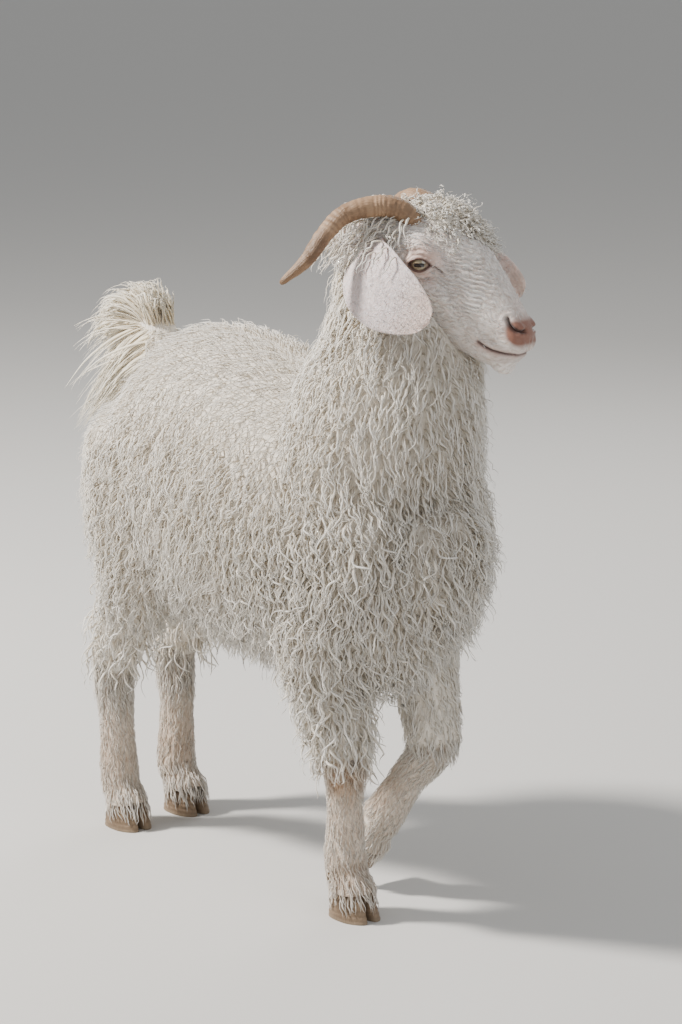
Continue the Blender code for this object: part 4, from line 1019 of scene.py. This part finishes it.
def unrolledUp(points):
    # Upright parts rolled out round their own line: the neck, or the four legs in a tile each
    tile = np.stack([points[:, 0] > 0, points[:, 1] > 0], axis=1)
    middle = np.where(tile[:, 0], 0.19, -0.22), np.where(tile[:, 1], 0.055, -0.055)
    around = np.arctan2(points[:, 1] - middle[1], points[:, 0] - middle[0]) / (2 * math.pi) + 0.5
    height = np.clip(points[:, 2] / 0.50, 0, 1)
    return 0.01 + 0.5 * tile + 0.47 * np.stack([around, height], axis=1)


def unrolledNeck(points):
    around = np.arctan2(points[:, 1], points[:, 0] - 0.20) / (2 * math.pi) + 0.5
    return 0.02 + 0.96 * np.stack([around, np.clip((points[:, 2] - 0.50) / 0.36, 0, 1)], axis=1)


def underwoolPiece():
    made = smoothUnion("underwool", bodyParts(body["underwool"]), 0.0062, 12)
    spots, outs = pointsOf(made.data), outsOf(made.data)
    rise = np.array([noise.fractal(Vector(p) * 60.0, 0.7, 2.0, 2) for p in spots])
    setPoints(made.data, spots + outs * (rise * 0.0016)[:, None])
    return made


fleeceSizes = {"spacing": 0.0058, "backSpacing": 0.0050, "tries": 190000, "strandSpacing": 0.0092, "curlSpacing": 0.0125, "seed": 21}


def bodyFlow(points, ups):
    lean = np.interp(points[:, 0], (-0.30, -0.10, 0.08, 0.18, 0.27), (-0.02, -0.08, -0.03, 0.05, 0.25))
    flow = np.stack([lean, np.zeros(len(points)), np.full(len(points), -1.0)], axis=1)
    top = fade(ups[:, 2], 0.45, 0.80)[:, None] * (1 - fade(points[:, 0:1], 0.10, 0.17))
    sign = np.where(points[:, 1:2] > 0, 1.0, -1.0) * np.clip(np.abs(points[:, 1:2]) / 0.03, 0.25, 1)
    back = np.concatenate([np.full_like(sign, -0.80), sign * 0.75, np.full_like(sign, -0.30)], axis=1)
    flow = flow * (1 - top) + back * top
    rump = fade(-points[:, 0:1], 0.20, 0.27) * (points[:, 2:3] > 0.3)
    flow = flow + rump * np.array((0.0, 0, -0.35))
    return unit(flow)


def bodySize(points, ups, rng):
    z = points[:, 2]
    top = fade(ups[:, 2], 0.25, 0.75) * (1 - fade(points[:, 0], 0.10, 0.17))
    neck = fade(z - 0.5 * (points[:, 0] - 0.1), 0.60, 0.66) * (points[:, 0] > 0.08)
    leftArm = fade(points[:, 1], 0.005, 0.035) * fade(points[:, 0], 0.10, 0.14) * (1 - fade(z, 0.30, 0.36))
    length = np.interp(z, (0.20, 0.30, 0.42, 0.60), (0.030, 0.034, 0.034, 0.027))
    length = length * (1 - neck) + np.interp(z, (0.60, 0.70, 0.80), (0.040, 0.036, 0.030)) * neck
    hock = (points[:, 0] < -0.05) * (1 - fade(z, 0.26, 0.36))
    length = (length * (1 - top) + 0.022 * top) * (1 - 0.40 * leftArm) * (1 - 0.45 * hock)
    reach = np.interp(z, (0.20, 0.32, 0.42, 0.60), (0.0070, 0.0125, 0.0172, 0.0165))
    reach = reach * (1 - neck) + np.interp(z, (0.60, 0.70, 0.80), (0.0160, 0.0140, 0.0090)) * neck
    reach = (reach * (1 - top) + 0.0110 * top) * (1 - 0.70 * leftArm) * (1 - 0.65 * hock)
    reach = reach * (1 - 0.65 * fade(-points[:, 0], 0.17, 0.26) * fade(z, 0.16, 0.26))
    wave = np.interp(z, (0.22, 0.36, 0.48, 0.60), (0.0030, 0.0034, 0.0026, 0.0014))
    wave = (wave * (1 - 0.25 * neck)) * (1 - top) + 0.0003 * top
    wave = wave * (1 - 0.5 * leftArm)
    hook = np.interp(z, (0.22, 0.34, 0.48, 0.62), (0.0046, 0.0064, 0.0054, 0.0026)) * (1 - 0.7 * top) * (1 - 0.85 * hock)
    hook = hook * (1 - 0.6 * leftArm)
    wide = 0.00178 * (1 - 0.45 * top) * (1 + 0.20 * neck) * (1 - 0.2 * leftArm)
    count = len(points)
    return {"length": length * rng.uniform(0.75, 1.25, count), "reach": reach * rng.uniform(0.42, 1.0, count),
            "wave": wave * rng.uniform(0.5, 1.5, count), "wide": wide * rng.uniform(0.6, 1.35, count),
            "hook": hook, "gather": 0.74 * (1 - 0.72 * top),
            "cycles": length / 0.0185 * rng.uniform(0.7, 1.3, count)}


def kneeLevel(points):
    front = np.where(points[:, 1] > 0, 0.198, 0.195)
    return np.where(points[:, 0] > 0, front, 0.222)


def makeFleece(headSurface):
    wool = underwoolPiece()
    surface = surfaceOf(wool)
    rng = np.random.default_rng(fleeceSizes["seed"])

    def outsideHead(points):
        clear = []
        for p in points:
            spot, out, _, _ = headSurface.find_nearest(Vector(p))
            clear.append((Vector(p) - spot).dot(out) > 0.001)
        return np.array(clear)

    def allowed(points, ups):
        tail = (points[:, 0] < -0.226) & (points[:, 2] > 0.628)
        ok = (points[:, 2] > kneeLevel(points) - 0.006) & ~tail & (points[:, 2] < 0.80)
        high = points[:, 2] > 0.66
        ok[high] &= outsideHead(points[high])
        return ok

    def spacing(points):
        back = fade(points[:, 2], 0.57, 0.62) * (points[:, 0] < 0.10)
        back = np.maximum(back, (points[:, 0] > 0.12) & (points[:, 1] > 0.015) & (points[:, 2] < 0.33))
        return fleeceSizes["spacing"] + (fleeceSizes["backSpacing"] - fleeceSizes["spacing"]) * back

    roots, ups = rootsOn(wool, spacing, rng, fleeceSizes["tries"], allowed)
    size = bodySize(roots, ups, rng)
    paths = hangingPaths(roots, ups, bodyFlow(roots, ups), size, surface, rng, 9)
    x, z = roots[:, 0], roots[:, 2]
    neck = (z - 0.56 * (x - 0.19) > 0.585) & (x > 0.05)
    leg = (z < 0.335) & ~neck
    regions = {"fleeceNeck": neck, "fleeceLegs": leg, "fleeceFront": ~neck & ~leg & (x > 0.125),
               "fleeceRibs": ~neck & ~leg & (x <= 0.125) & (x > -0.085), "fleeceRump": ~neck & ~leg & (x <= -0.085)}
    for name, keep in regions.items():
        part = chosen(paths, keep)
        spots = roots[keep]
        if name == "fleeceNeck":
            part["place"] = unrolledNeck(spots)
        elif name == "fleeceLegs":
            part["place"] = unrolledUp(spots)
        else:
            part["place"] = unrolled(spots, -0.35, 0.35)
        sweep(name, part, "strand", fleece, 0.62)
    # Larger hooked curls along the belly, chest and forearms
    roots, ups = rootsOn(wool, fleeceSizes["curlSpacing"], rng, 16000, allowed)
    low = roots[:, 2] < 0.30 + 0.16 * fade(roots[:, 0], -0.05, 0.20) + 0.05 * rng.random(len(roots))
    low &= ~((roots[:, 1] > 0.015) & (roots[:, 0] > 0.1) & (roots[:, 2] < 0.34))
    roots, ups = roots[low], ups[low]
    count = len(roots)
    size = {"length": rng.uniform(0.034, 0.052, count), "reach": rng.uniform(0.010, 0.0165, count),
            "wave": rng.uniform(0.0040, 0.0075, count), "wide": rng.uniform(0.0017, 0.0027, count),
            "cycles": rng.uniform(0.75, 1.35, count), "stray": 0.4, "hook": 0.006}
    paths = hangingPaths(roots, ups, bodyFlow(roots, ups), size, surface, rng, 13)
    paths["place"] = unrolled(roots, -0.35, 0.35)
    sweep("fleeceCurls", paths, "strand", fleece, 0.62)
    roots, ups = rootsOn(wool, fleeceSizes["strandSpacing"], rng, 60000, allowed)
    size = bodySize(roots, ups, rng)
    count = len(roots)
    size["wide"] = np.full(count, 0.00065) * rng.uniform(0.7, 1.3, count)
    size["reach"] = size["reach"] * rng.uniform(1.1, 1.5, count)
    size["wave"] = size["wave"] * 1.3
    size["stray"], size["gather"] = 0.45, 0.0
    paths = hangingPaths(roots, ups, bodyFlow(roots, ups), size, surface, rng, 9)
    half = roots[:, 0] > 0.06
    for name, keep in (("strandsFront", half), ("strandsBack", ~half)):
        part = chosen(paths, keep)
        part["place"] = unrolled(roots[keep], -0.35, 0.35)
        sweep(name, part, "strand", fleece, 0.8)
    return wool


headSurface = surfaceOf(headOnly)
underwool = makeFleece(headSurface)

tailSizes = {"tips": ((-0.238, 0.676), (-0.268, 0.690), (-0.328, 0.656), (-0.372, 0.592), (-0.356, 0.500)),
             "spread": 0.034, "spacing": 0.0026, "steps": 10, "seed": 5,
             "dock": ((-0.212, 0.000, 0.598, 0.021, 0.020), (-0.236, 0.000, 0.632, 0.022, 0.019),
                      (-0.256, 0.000, 0.649, 0.019, 0.016), (-0.280, 0.000, 0.643, 0.009, 0.009))}


def makeTail():
    # Long hairs in clumps, fanning out behind the dock
    rng = np.random.default_rng(tailSizes["seed"])
    dock = tube("dockSkin", tailSizes["dock"], 20, 16)
    start, ups = rootsOn(dock, tailSizes["spacing"], rng, 14000, lambda p, n: p[:, 2] > 0.60)
    count, steps = len(start), tailSizes["steps"]
    angle = np.arctan2(start[:, 2] - 0.640, -(start[:, 0] + 0.236))
    at = np.interp(angle, (-0.9, 2.3), (1.0, 0.0)) + rng.normal(0, 0.07, count)
    clump = np.round(np.clip(at, 0, 1) * 22) + 23 * np.round(start[:, 1] / 0.009)
    at = np.clip((clump % 23) / 22.0 + rng.normal(0, 0.014, count), 0, 1)
    across = tailSizes["spread"] * np.sin(clump * 2.4 + 0.5) * 0.45 + start[:, 1] * 1.1 + rng.normal(0, 0.0026, count)
    tips = curveThrough(tailSizes["tips"], 201)[(at * 200).astype(int)]
    end = np.stack([tips[:, 0], across - 0.008, tips[:, 1]], axis=1) + rng.normal(0, 0.0035, (count, 3))
    short = ((0.74 + 0.30 * np.abs(np.sin(clump * 1.7))) * rng.uniform(0.78, 1.04, count))[:, None]
    front = 1 - fade(at, 0.0, 0.22)
    short *= (1 - 0.35 * front * rng.random(count))[:, None]
    end = start + (end - start) * short
    end[:, 0] += 0.010 * front * (rng.random(count) - 0.4)
    middle = (start + end) / 2 + ups * 0.005 + np.array((-0.003, 0, 0.010))
    t = np.linspace(0, 1, steps)[None, :, None]
    spots = (1 - t) ** 2 * start[:, None] + 2 * t * (1 - t) * (2 * middle - (start + end) / 2)[:, None] + t ** 2 * end[:, None]
    phase = rng.uniform(0, 6.28, (count, 1)) + clump[:, None]
    wave = 0.0022 * t[:, :, 0] * np.sin(phase + t[:, :, 0] * 11.0)
    spots[:, :, 1] += wave
    spots[:, :, 2] += wave * 0.6
    outs = np.zeros((count, steps, 3))
    outs[:, :, 1] = 1.0
    form = np.interp(t[0, :, 0], (0, 0.2, 0.6, 1.0), (0.8, 1.0, 0.7, 0.08))
    thick = np.full((count, 1), 0.00105) * rng.uniform(0.7, 1.3, (count, 1)) * form
    place = np.stack([0.05 + 0.9 * at, 0.5 + across * 8], axis=1)
    sweep("tailHair", {"spots": spots, "outs": outs, "thick": thick, "own": rng.random(count), "place": place},
          "strand", tailHair)
    coarse = slice(0, count, 6)
    sweep("tailLocks", {"spots": spots[coarse], "outs": outs[coarse], "thick": thick[coarse] * 2.6,
                        "own": rng.random(len(spots[coarse])), "place": place[coarse]}, "lock", tailHair)
    return dock


dockSkin = makeTail()

forelockSizes = {"spacing": 0.0041, "length": (0.016, 0.027), "wave": 0.0027, "wide": 0.00135, "seed": 9}


def makeForelock():
    # Tight ringlets over the forehead
    rng = np.random.default_rng(forelockSizes["seed"])
    core = ball("forelockCore", *head["forelock"], 40, 28)
    roots, ups = rootsOn(core, forelockSizes["spacing"], rng, 9000, lambda p, n: p[:, 2] > head["forelock"][0][2] - 0.002)
    surface = surfaceOf(core)
    count = len(roots)
    flow = np.stack([(roots[:, 0] - 0.030) / 0.044, 1.2 * (roots[:, 1] - 0.013) / 0.042, np.full(count, -0.3)], axis=1)
    flow = unit(flow + rng.normal(0, 0.6, (count, 3)))
    size = {"length": rng.uniform(*forelockSizes["length"], count), "reach": rng.uniform(0.003, 0.009, count),
            "wave": forelockSizes["wave"] * rng.uniform(0.8, 1.3, count),
            "wide": forelockSizes["wide"] * rng.uniform(0.7, 1.2, count),
            "cycles": rng.uniform(1.7, 2.6, count), "stray": 0.5, "lift": 0.9, "gather": 0.3}
    paths = hangingPaths(roots, ups, flow, size, surface, rng, 15)
    where = np.array(headFrame())
    for key, shift in (("spots", where[:3, 3]), ("outs", 0)):
        paths[key] = paths[key] @ where[:3, :3].T + shift

    def onBrow(points, ups):
        u, v, w = inFrame(points, headFrame()).T
        return (w > 0.003) & (u > 0.010) & (u < np.minimum(0.066 + 1.5 * v, 0.088)) & (v < 0.040)

    edge, edgeUps = rootsOn(headOnly, 0.0055, rng, 16000, onBrow)
    more = len(edge)
    size = {"length": rng.uniform(0.013, 0.021, more), "reach": rng.uniform(0.003, 0.009, more),
            "wave": 0.0024 * rng.uniform(0.8, 1.3, more), "wide": 0.0015 * rng.uniform(0.7, 1.2, more),
            "cycles": rng.uniform(1.5, 2.3, more), "stray": 0.6, "lift": 0.9}
    flow = np.tile(where[:3, :3] @ (0.35, 0.35, -0.6), (more, 1)) + rng.normal(0, 0.3, (more, 3))
    lower = hangingPaths(edge, edgeUps, unit(flow), size, headSurface, rng, 15)
    paths = {key: np.concatenate([paths[key], lower[key]]) for key in paths}
    roots = np.concatenate([roots, inFrame(edge, headFrame())])
    paths["place"] = 0.5 + np.stack([roots[:, 0] - 0.046, roots[:, 1]], axis=1) * 8
    sweep("forelock", paths, "strand", fleece, 0.8)
    return placed(core, headFrame())


forelockCore = makeForelock()

pollSizes = {"spacing": 0.0060, "length": (0.026, 0.042), "reach": (0.0055, 0.012), "wave": 0.0020, "wide": 0.0018,
             "seed": 14}


def makePollLocks():
    # White locks over the poll, the temple and the root of the ear
    rng = np.random.default_rng(pollSizes["seed"])

    def behindFace(points, ups):
        local = inFrame(points, headFrame())
        side = np.stack([local[:, 0], np.abs(local[:, 1]), local[:, 2]], axis=1)
        ok = np.linalg.norm(side - (0.070, 0.046, -0.009), axis=1) > 0.030
        level = inFrame(points, headFrame(0.0))
        onHead = np.array([headSurface.find_nearest(Vector(p))[3] < 0.0008 for p in points])
        ok &= (local[:, 0] < 0.030 - 0.5 * np.maximum(0, -0.02 - local[:, 2])) & (local[:, 2] > -0.075)
        return np.where(onHead, ok, level[:, 2] > -0.040)

    both = joined("headAndEars", [bareCopy(headOnly), bareCopy(earSkin)])
    roots, ups = rootsOn(both, pollSizes["spacing"], rng, 22000, behindFace)
    count = len(roots)
    sign = np.where(roots[:, 1:2] > 0, 1.0, -1.0)
    flow = np.concatenate([np.full((count, 1), -0.15), sign * 0.45, np.full((count, 1), -1.0)], axis=1)
    size = {"length": rng.uniform(*pollSizes["length"], count), "reach": rng.uniform(*pollSizes["reach"], count),
            "wave": pollSizes["wave"] * rng.uniform(0.6, 1.4, count),
            "wide": pollSizes["wide"] * rng.uniform(0.6, 1.2, count),
            "cycles": rng.uniform(1.2, 2.4, count), "stray": 0.35, "lift": 0.8, "hook": 0.004, "gather": 0.35}
    paths = hangingPaths(roots, ups, unit(flow), size, surfaceOf(both), rng, 11)
    removed(both)
    paths["place"] = 0.5 + (roots[:, :2] - (0.21, 0.0)) * 5
    sweep("pollLocks", paths, "strand", fleece, 0.65)


makePollLocks()

shortHair = {"face": 0.0031, "leg": 0.0036, "ear": 0.0046, "seed": 31}


def faceFlow(points, ups):
    # Hair runs from the nose up the face and then down the cheeks
    local = inFrame(points, headFrame())
    turn = np.array(headFrame().to_3x3())
    back = np.stack([np.full(len(points), -1.0), np.zeros(len(points)), np.interp(local[:, 0], (0.05, 0.12, 0.2), (-1.1, -0.45, 0.1))], axis=1)
    flow = back @ turn.T
    flow = flow - ups * (flow * ups).sum(axis=1, keepdims=True)
    return unit(flow)


def makeShortHair():
    rng = np.random.default_rng(shortHair["seed"])

    def onFace(points, ups):
        local = inFrame(points, headFrame())
        side = np.stack([local[:, 0], np.abs(local[:, 1]), local[:, 2]], axis=1)
        ok = (local[:, 0] > -0.02) & (local[:, 0] < 0.192)
        ok &= np.linalg.norm((side - (0.072, 0.050, -0.005)) / (1.3, 1, 0.95), axis=1) > 0.0165
        far, _ = lineDistance(side[:, [0, 2]], head["nostril"])
        line = np.array(head["mouth"])
        gap = np.abs(local[:, 2] - np.interp(local[:, 0], line[:, 0], line[:, 1]))
        return ok & (far > 0.008) & ((gap > 0.0035) | (local[:, 0] < 0.166))

    roots, ups = rootsOn(headOnly, shortHair["face"], rng, 26000, onFace)
    local = inFrame(roots, headFrame())
    count = len(roots)
    grow = np.interp(local[:, 0], (0.0, 0.05, 0.10, 0.19), (1.7, 1.2, 0.75, 0.55))
    size = {"length": 0.0095 * grow * rng.uniform(0.7, 1.2, count), "reach": 0.0014 * grow * rng.uniform(0.3, 1.3, count),
            "wave": np.full(count, 0.0009) * grow, "wide": 0.00085 * grow ** 0.5 * rng.uniform(0.6, 1.2, count),
            "cycles": np.full(count, 1.0), "stray": 0.25, "lift": 0.3, "gather": 0.35}
    paths = hangingPaths(roots, ups, faceFlow(roots, ups), size, headSurface, rng, 5)
    paths["place"] = 0.05 + 0.9 * np.stack([np.clip(local[:, 0] / 0.22, 0, 1),
                                           np.arctan2(local[:, 1], local[:, 2] + 0.03) / 6.2832 + 0.5], axis=1)
    sweep("faceHair", paths, "strand", faceHair, 0.7)

    # Very short hair on the ears, towards their tips
    roots, ups = rootsOn(earSkin, shortHair["ear"], rng, 16000, lambda p, n: p[:, 2] > 0)
    count = len(roots)
    turn = np.array(headFrame(0.0).to_3x3())
    sign = np.where(roots[:, 1:2] > 0, 1.0, -1.0)
    flow = np.concatenate([np.full((count, 1), 0.75), sign * 0.15, np.full((count, 1), -0.6)], axis=1) @ turn.T
    size = {"length": 0.0060 * rng.uniform(0.6, 1.3, count), "reach": 0.0006 * rng.uniform(0.3, 1.3, count),
            "wave": np.full(count, 0.0004), "wide": 0.00050 * rng.uniform(0.6, 1.2, count),
            "cycles": np.full(count, 1.0), "stray": 0.3, "lift": 0.3}
    paths = hangingPaths(roots, ups, unit(flow), size, surfaceOf(earSkin), rng, 4)
    paths["place"] = 0.5 + np.stack([roots[:, 0] - 0.24, np.abs(roots[:, 1]) - 0.09], axis=1) * 4 * np.where(sign > 0, 1, -1)
    sweep("earHair", paths, "strand", earHair, 0.7)

    def onLeg(points, ups):
        ok = (points[:, 2] < kneeLevel(points) + 0.01) & (points[:, 2] > 0.028)
        for leg in legs.values():
            local = inFrame(points, footFrame(leg))
            near = np.linalg.norm(points - np.array(leg["joints"][-1]), axis=1) < 0.06
            ok &= ~(near & (local[:, 2] < 0.002))
        return ok

    roots, ups = rootsOn(skin, shortHair["leg"], rng, 260000, onLeg)
    count = len(roots)
    z = roots[:, 2]
    flow = np.zeros((count, 3))
    nearest = np.full(count, 1e9)
    for leg in legs.values():
        joints = np.asarray(leg["joints"])
        for a, b in zip(joints[1:-1], joints[2:]):
            far, _ = lineDistance(roots, (a, b))
            near = far < nearest
            nearest[near], flow[near] = far[near], unit(b - a)
    low = np.interp(z, (0.03, 0.05, 0.07, 0.12, 0.16, 0.20), (2.5, 2.1, 1.4, 1.0, 1.2, 1.9))
    hind = np.where(roots[:, 0] < 0, 1.0 + 0.5 * fade(z, 0.13, 0.19), 1.0)
    low = low * hind
    size = {"length": 0.0115 * low * rng.uniform(0.7, 1.25, count), "reach": 0.0016 * low * rng.uniform(0.4, 1.4, count),
            "wave": np.full(count, 0.0007) * low, "wide": 0.00095 * low ** 0.5 * rng.uniform(0.6, 1.2, count),
            "cycles": np.full(count, 1.2), "stray": 0.25, "lift": 0.4, "gather": 0.4}
    footed = joined("skinAndHooves", [bareCopy(skin)] + [bareCopy(hoof) for hoof in hooves.values()])
    paths = hangingPaths(roots, ups, flow, size, surfaceOf(footed), rng, 6)
    removed(footed)
    paths["spots"][:, :, 2] = np.maximum(paths["spots"][:, :, 2], 0.004)
    paths["place"] = unrolledUp(roots)
    sweep("legHair", paths, "strand", legHair, 0.7)


makeShortHair()


# Eyes and horns

def makeEye(side, word):
    made = ball("eye_" + word + "_ball", (0, 0, 0), [eye["radius"]] * 3, 64, 48)
    spots = pointsOf(made.data)
    far = np.linalg.norm(spots[:, [0, 2]], axis=1)
    bulge = np.where(spots[:, 1] > 0, bell(far, eye["iris"]) * 0.0011, 0)
    spots[:, 1] += bulge
    setPoints(made.data, spots)
    setValues(made.data, "look", spots, "FLOAT_VECTOR")
    finishWith(made, eyeball)
    placed(made, headFrame() @ eyeFrame(side))
    x, z = almond(72)
    radius = eye["radius"] + eye["lid"] * 0.62
    y = np.sqrt(np.maximum(radius ** 2 - x ** 2 - z ** 2, 1e-8))
    line = np.stack([x * 1.02, y, z * 1.02], axis=1)
    tangents = np.roll(line, -1, axis=0) - np.roll(line, 1, axis=0)
    rings = [ring(p, t, p, 0.00115, 0.00115, 10) for p, t in zip(line, tangents)]
    points = np.concatenate(rings)
    faces = [((k % 72) * 10 + j, (k % 72) * 10 + (j + 1) % 10, ((k + 1) % 72) * 10 + (j + 1) % 10, ((k + 1) % 72) * 10 + j)
             for k in range(72) for j in range(10)]
    rim = placed(facingOut(meshObject("lid_rim_" + word, points, faces)), headFrame() @ eyeFrame(side))
    finishWith(rim, lidRim)
    return made, rim


def makeHorn(side, word):
    count = hornSizes["along"]
    rows = curveThrough(bySide(hornSizes["line"], side), count)
    spots, tangents = rows[:, :3], np.gradient(rows[:, :3], axis=0)
    at = np.linspace(0, 1, count)
    beat = (at ** 0.9 * hornSizes["rings"] + 0.35 * np.sin(at * 23.0) + 0.2 * np.sin(at * 61.0)) % 1.0
    ridge = np.where(beat < 0.68, np.sin(beat / 0.68 * math.pi) ** 0.7, 0) - 0.25
    rng = np.random.default_rng(40 + side)
    unevenness = np.interp(at * hornSizes["rings"], np.arange(hornSizes["rings"] + 1),
                           rng.uniform(0.2, 1.5, hornSizes["rings"] + 1))
    calm = 1 - fade(at, 0.78, 0.95)
    radius = rows[:, 3] * (1 + hornSizes["ridge"] * ridge * unevenness * calm)
    radius[-6:] *= (0.97, 0.92, 0.84, 0.72, 0.52, 0.22)
    rings = [ring(p, t, (0, 0, 1), r * 0.92, r * 1.06, hornSizes["around"]) for p, t, r in zip(spots, tangents, radius)]
    made = lofted("horn_" + word + "_ringed", rings)
    lumps, outs = pointsOf(made.data), outsOf(made.data)
    rough = np.array([noise.noise(Vector(p) * 130.0) * 0.0006 + noise.noise(Vector(p) * 420.0) * 0.0003 for p in lumps])
    setPoints(made.data, lumps + outs * rough[:, None])
    placed(made, headFrame(0.0))
    n = hornSizes["around"]
    share = np.concatenate([np.repeat(at, n), (0, 1)])
    # Painted shade: the grooves between the rings are marked to be painted darker
    groove = np.concatenate([np.repeat(np.clip(0.3 - ridge, 0, 1) * calm, n), (0, 0)])
    angle = np.concatenate([np.tile(np.arange(n) * 2 * math.pi / n, count), (0, 0)])
    grain = np.stack([share * 0.25, 0.012 * np.cos(angle), 0.012 * np.sin(angle)], axis=1)
    setValues(made.data, "grain", grain, "FLOAT_VECTOR")
    setValues(made.data, "groove", groove)
    setValues(made.data, "end", fade(share, 0.80, 1.0) * 0.7)
    finishWith(made, hornStuff)
    return made


def dressed(obj, slot, *nodes):
    # Smooth, in the shared frame, and standing for its nodes
    obj.data.shade_smooth()
    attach(obj, "root")
    if nodes:
        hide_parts(*nodes)


for side, word in ((-1, "right"), (1, "left")):
    eyePiece, rimPiece = makeEye(side, word)
    hornPiece = makeHorn(side, word)
    for piece in (eyePiece, rimPiece, hornPiece):
        piece.data.transform(toShared)
    dressed(eyePiece, "eye", "eye_" + word)
    dressed(rimPiece, "face")
    dressed(hornPiece, "horn", "horn_" + word)

for name, piece in hooves.items():
    piece.data.transform(toShared)
    dressed(piece, "hoof", f"hoof_{name}_right", f"hoof_{name}_left")
    piece.data.set_sharp_from_angle(angle=math.radians(50))

fleshNodes = ["torso", "neck", "tail", "head", "ear_right", "ear_left"]
fleshNodes += [f"{name}_{part}" for name in legs for part in ("upper", "lower")]
finishWith(skin, shortCoat)
skin.data.transform(toShared)
dressed(skin, "face", *fleshNodes)
for spare in (headOnly, earSkin):
    removed(spare)
woolParts = joined("underwool", [underwool, dockSkin, forelockCore])
woolParts.data.transform(toShared)


def woolMaterial():
    made, tree, shader = newMaterial("underwool", 0.85, Sheen_Weight=0.3)
    place = addNode(tree, "ShaderNodeTexCoord").outputs["Object"]
    turned = addNode(tree, "ShaderNodeMapping", {"Vector": place, "Rotation": (0, math.radians(90), 0)})
    hair = addNode(tree, "ShaderNodeGroup", {"Place": turned.outputs[0], "Fineness": 300.0, "Stretch": 0.25,
                                             "Waviness": 0.012}, node_tree=streaks)
    colour = mixColour(tree, hair.outputs["Height"], (0.68, 0.60, 0.49), (0.90, 0.85, 0.77))
    tree.links.new(stained(tree, colour), shader.inputs["Base Color"])
    bumpInto(tree, shader, hair.outputs["Height"], 0.9, 0.003)
    return made


finishWith(woolParts, woolMaterial())
dressed(woolParts, "fleece")
for piece in coatPieces:
    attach(piece, "root")
print("pieces placed")


# Floor, lights and camera

stage = {"floor": 30.0, "floorColour": (0.56, 0.545, 0.52), "sky": (0.86, 0.88, 0.90), "skyStrength": 0.55,
         "eye": (2.706, -2.177, 1.18), "right": (0.643, 0.766, 0.0), "up": (-0.159, 0.134, 0.978),
         "lens": 105.0, "sensor": 36.0, "target": (0.0, 0.0, 0.42)}


def makeStage():
    size = stage["floor"]
    floor = meshObject("floor", [(-size, -size, 0), (size, -size, 0), (size, size, 0), (-size, size, 0)], [(0, 1, 2, 3)])
    made, tree, shader = newMaterial("paleFloor", 0.85)
    shader.inputs["Base Color"].default_value = (*stage["floorColour"], 1)
    floor.data.materials.append(made)
    world = bpy.data.worlds.new("softSky")
    world.use_nodes = True
    world.node_tree.nodes["Background"].inputs["Color"].default_value = (*stage["sky"], 1)
    world.node_tree.nodes["Background"].inputs["Strength"].default_value = stage["skyStrength"]
    bpy.context.scene.world = world


def makeCamera():
    data = bpy.data.cameras.new("photoView")
    data.lens, data.sensor_width, data.sensor_fit = stage["lens"], stage["sensor"], "AUTO"
    camera = bpy.data.objects.new("photoView", data)
    right = Vector(stage["right"]).normalized()
    back = right.cross(Vector(stage["up"])).normalized()
    turn = Matrix((right, back.cross(right), back)).transposed()
    camera.matrix_world = Matrix.Translation(Vector(stage["eye"]) - origin) @ turn.to_4x4()
    bpy.context.scene.collection.objects.link(camera)
    bpy.context.scene.camera = camera


def makeLight(name, place, size, power, colour):
    data = bpy.data.lights.new(name, "AREA")
    data.shape, data.size, data.energy, data.color = "DISK", size, power, colour
    light = bpy.data.objects.new(name, data)
    aim = Vector(stage["target"]) - Vector(place)
    light.matrix_world = Matrix.Translation(place) @ aim.to_track_quat("-Z", "Y").to_matrix().to_4x4()
    bpy.context.scene.collection.objects.link(light)


makeStage()
makeCamera()
makeLight("key", (-1.9, -2.1, 3.2), 0.55, 430.0, (1.0, 0.965, 0.92))
makeLight("fill", (3.0, -0.2, 1.8), 2.2, 26.0, (0.93, 0.96, 1.0))
makeLight("rim", (-1.2, 2.6, 2.2), 1.6, 30.0, (1.0, 1.0, 1.0))
print("stage set")
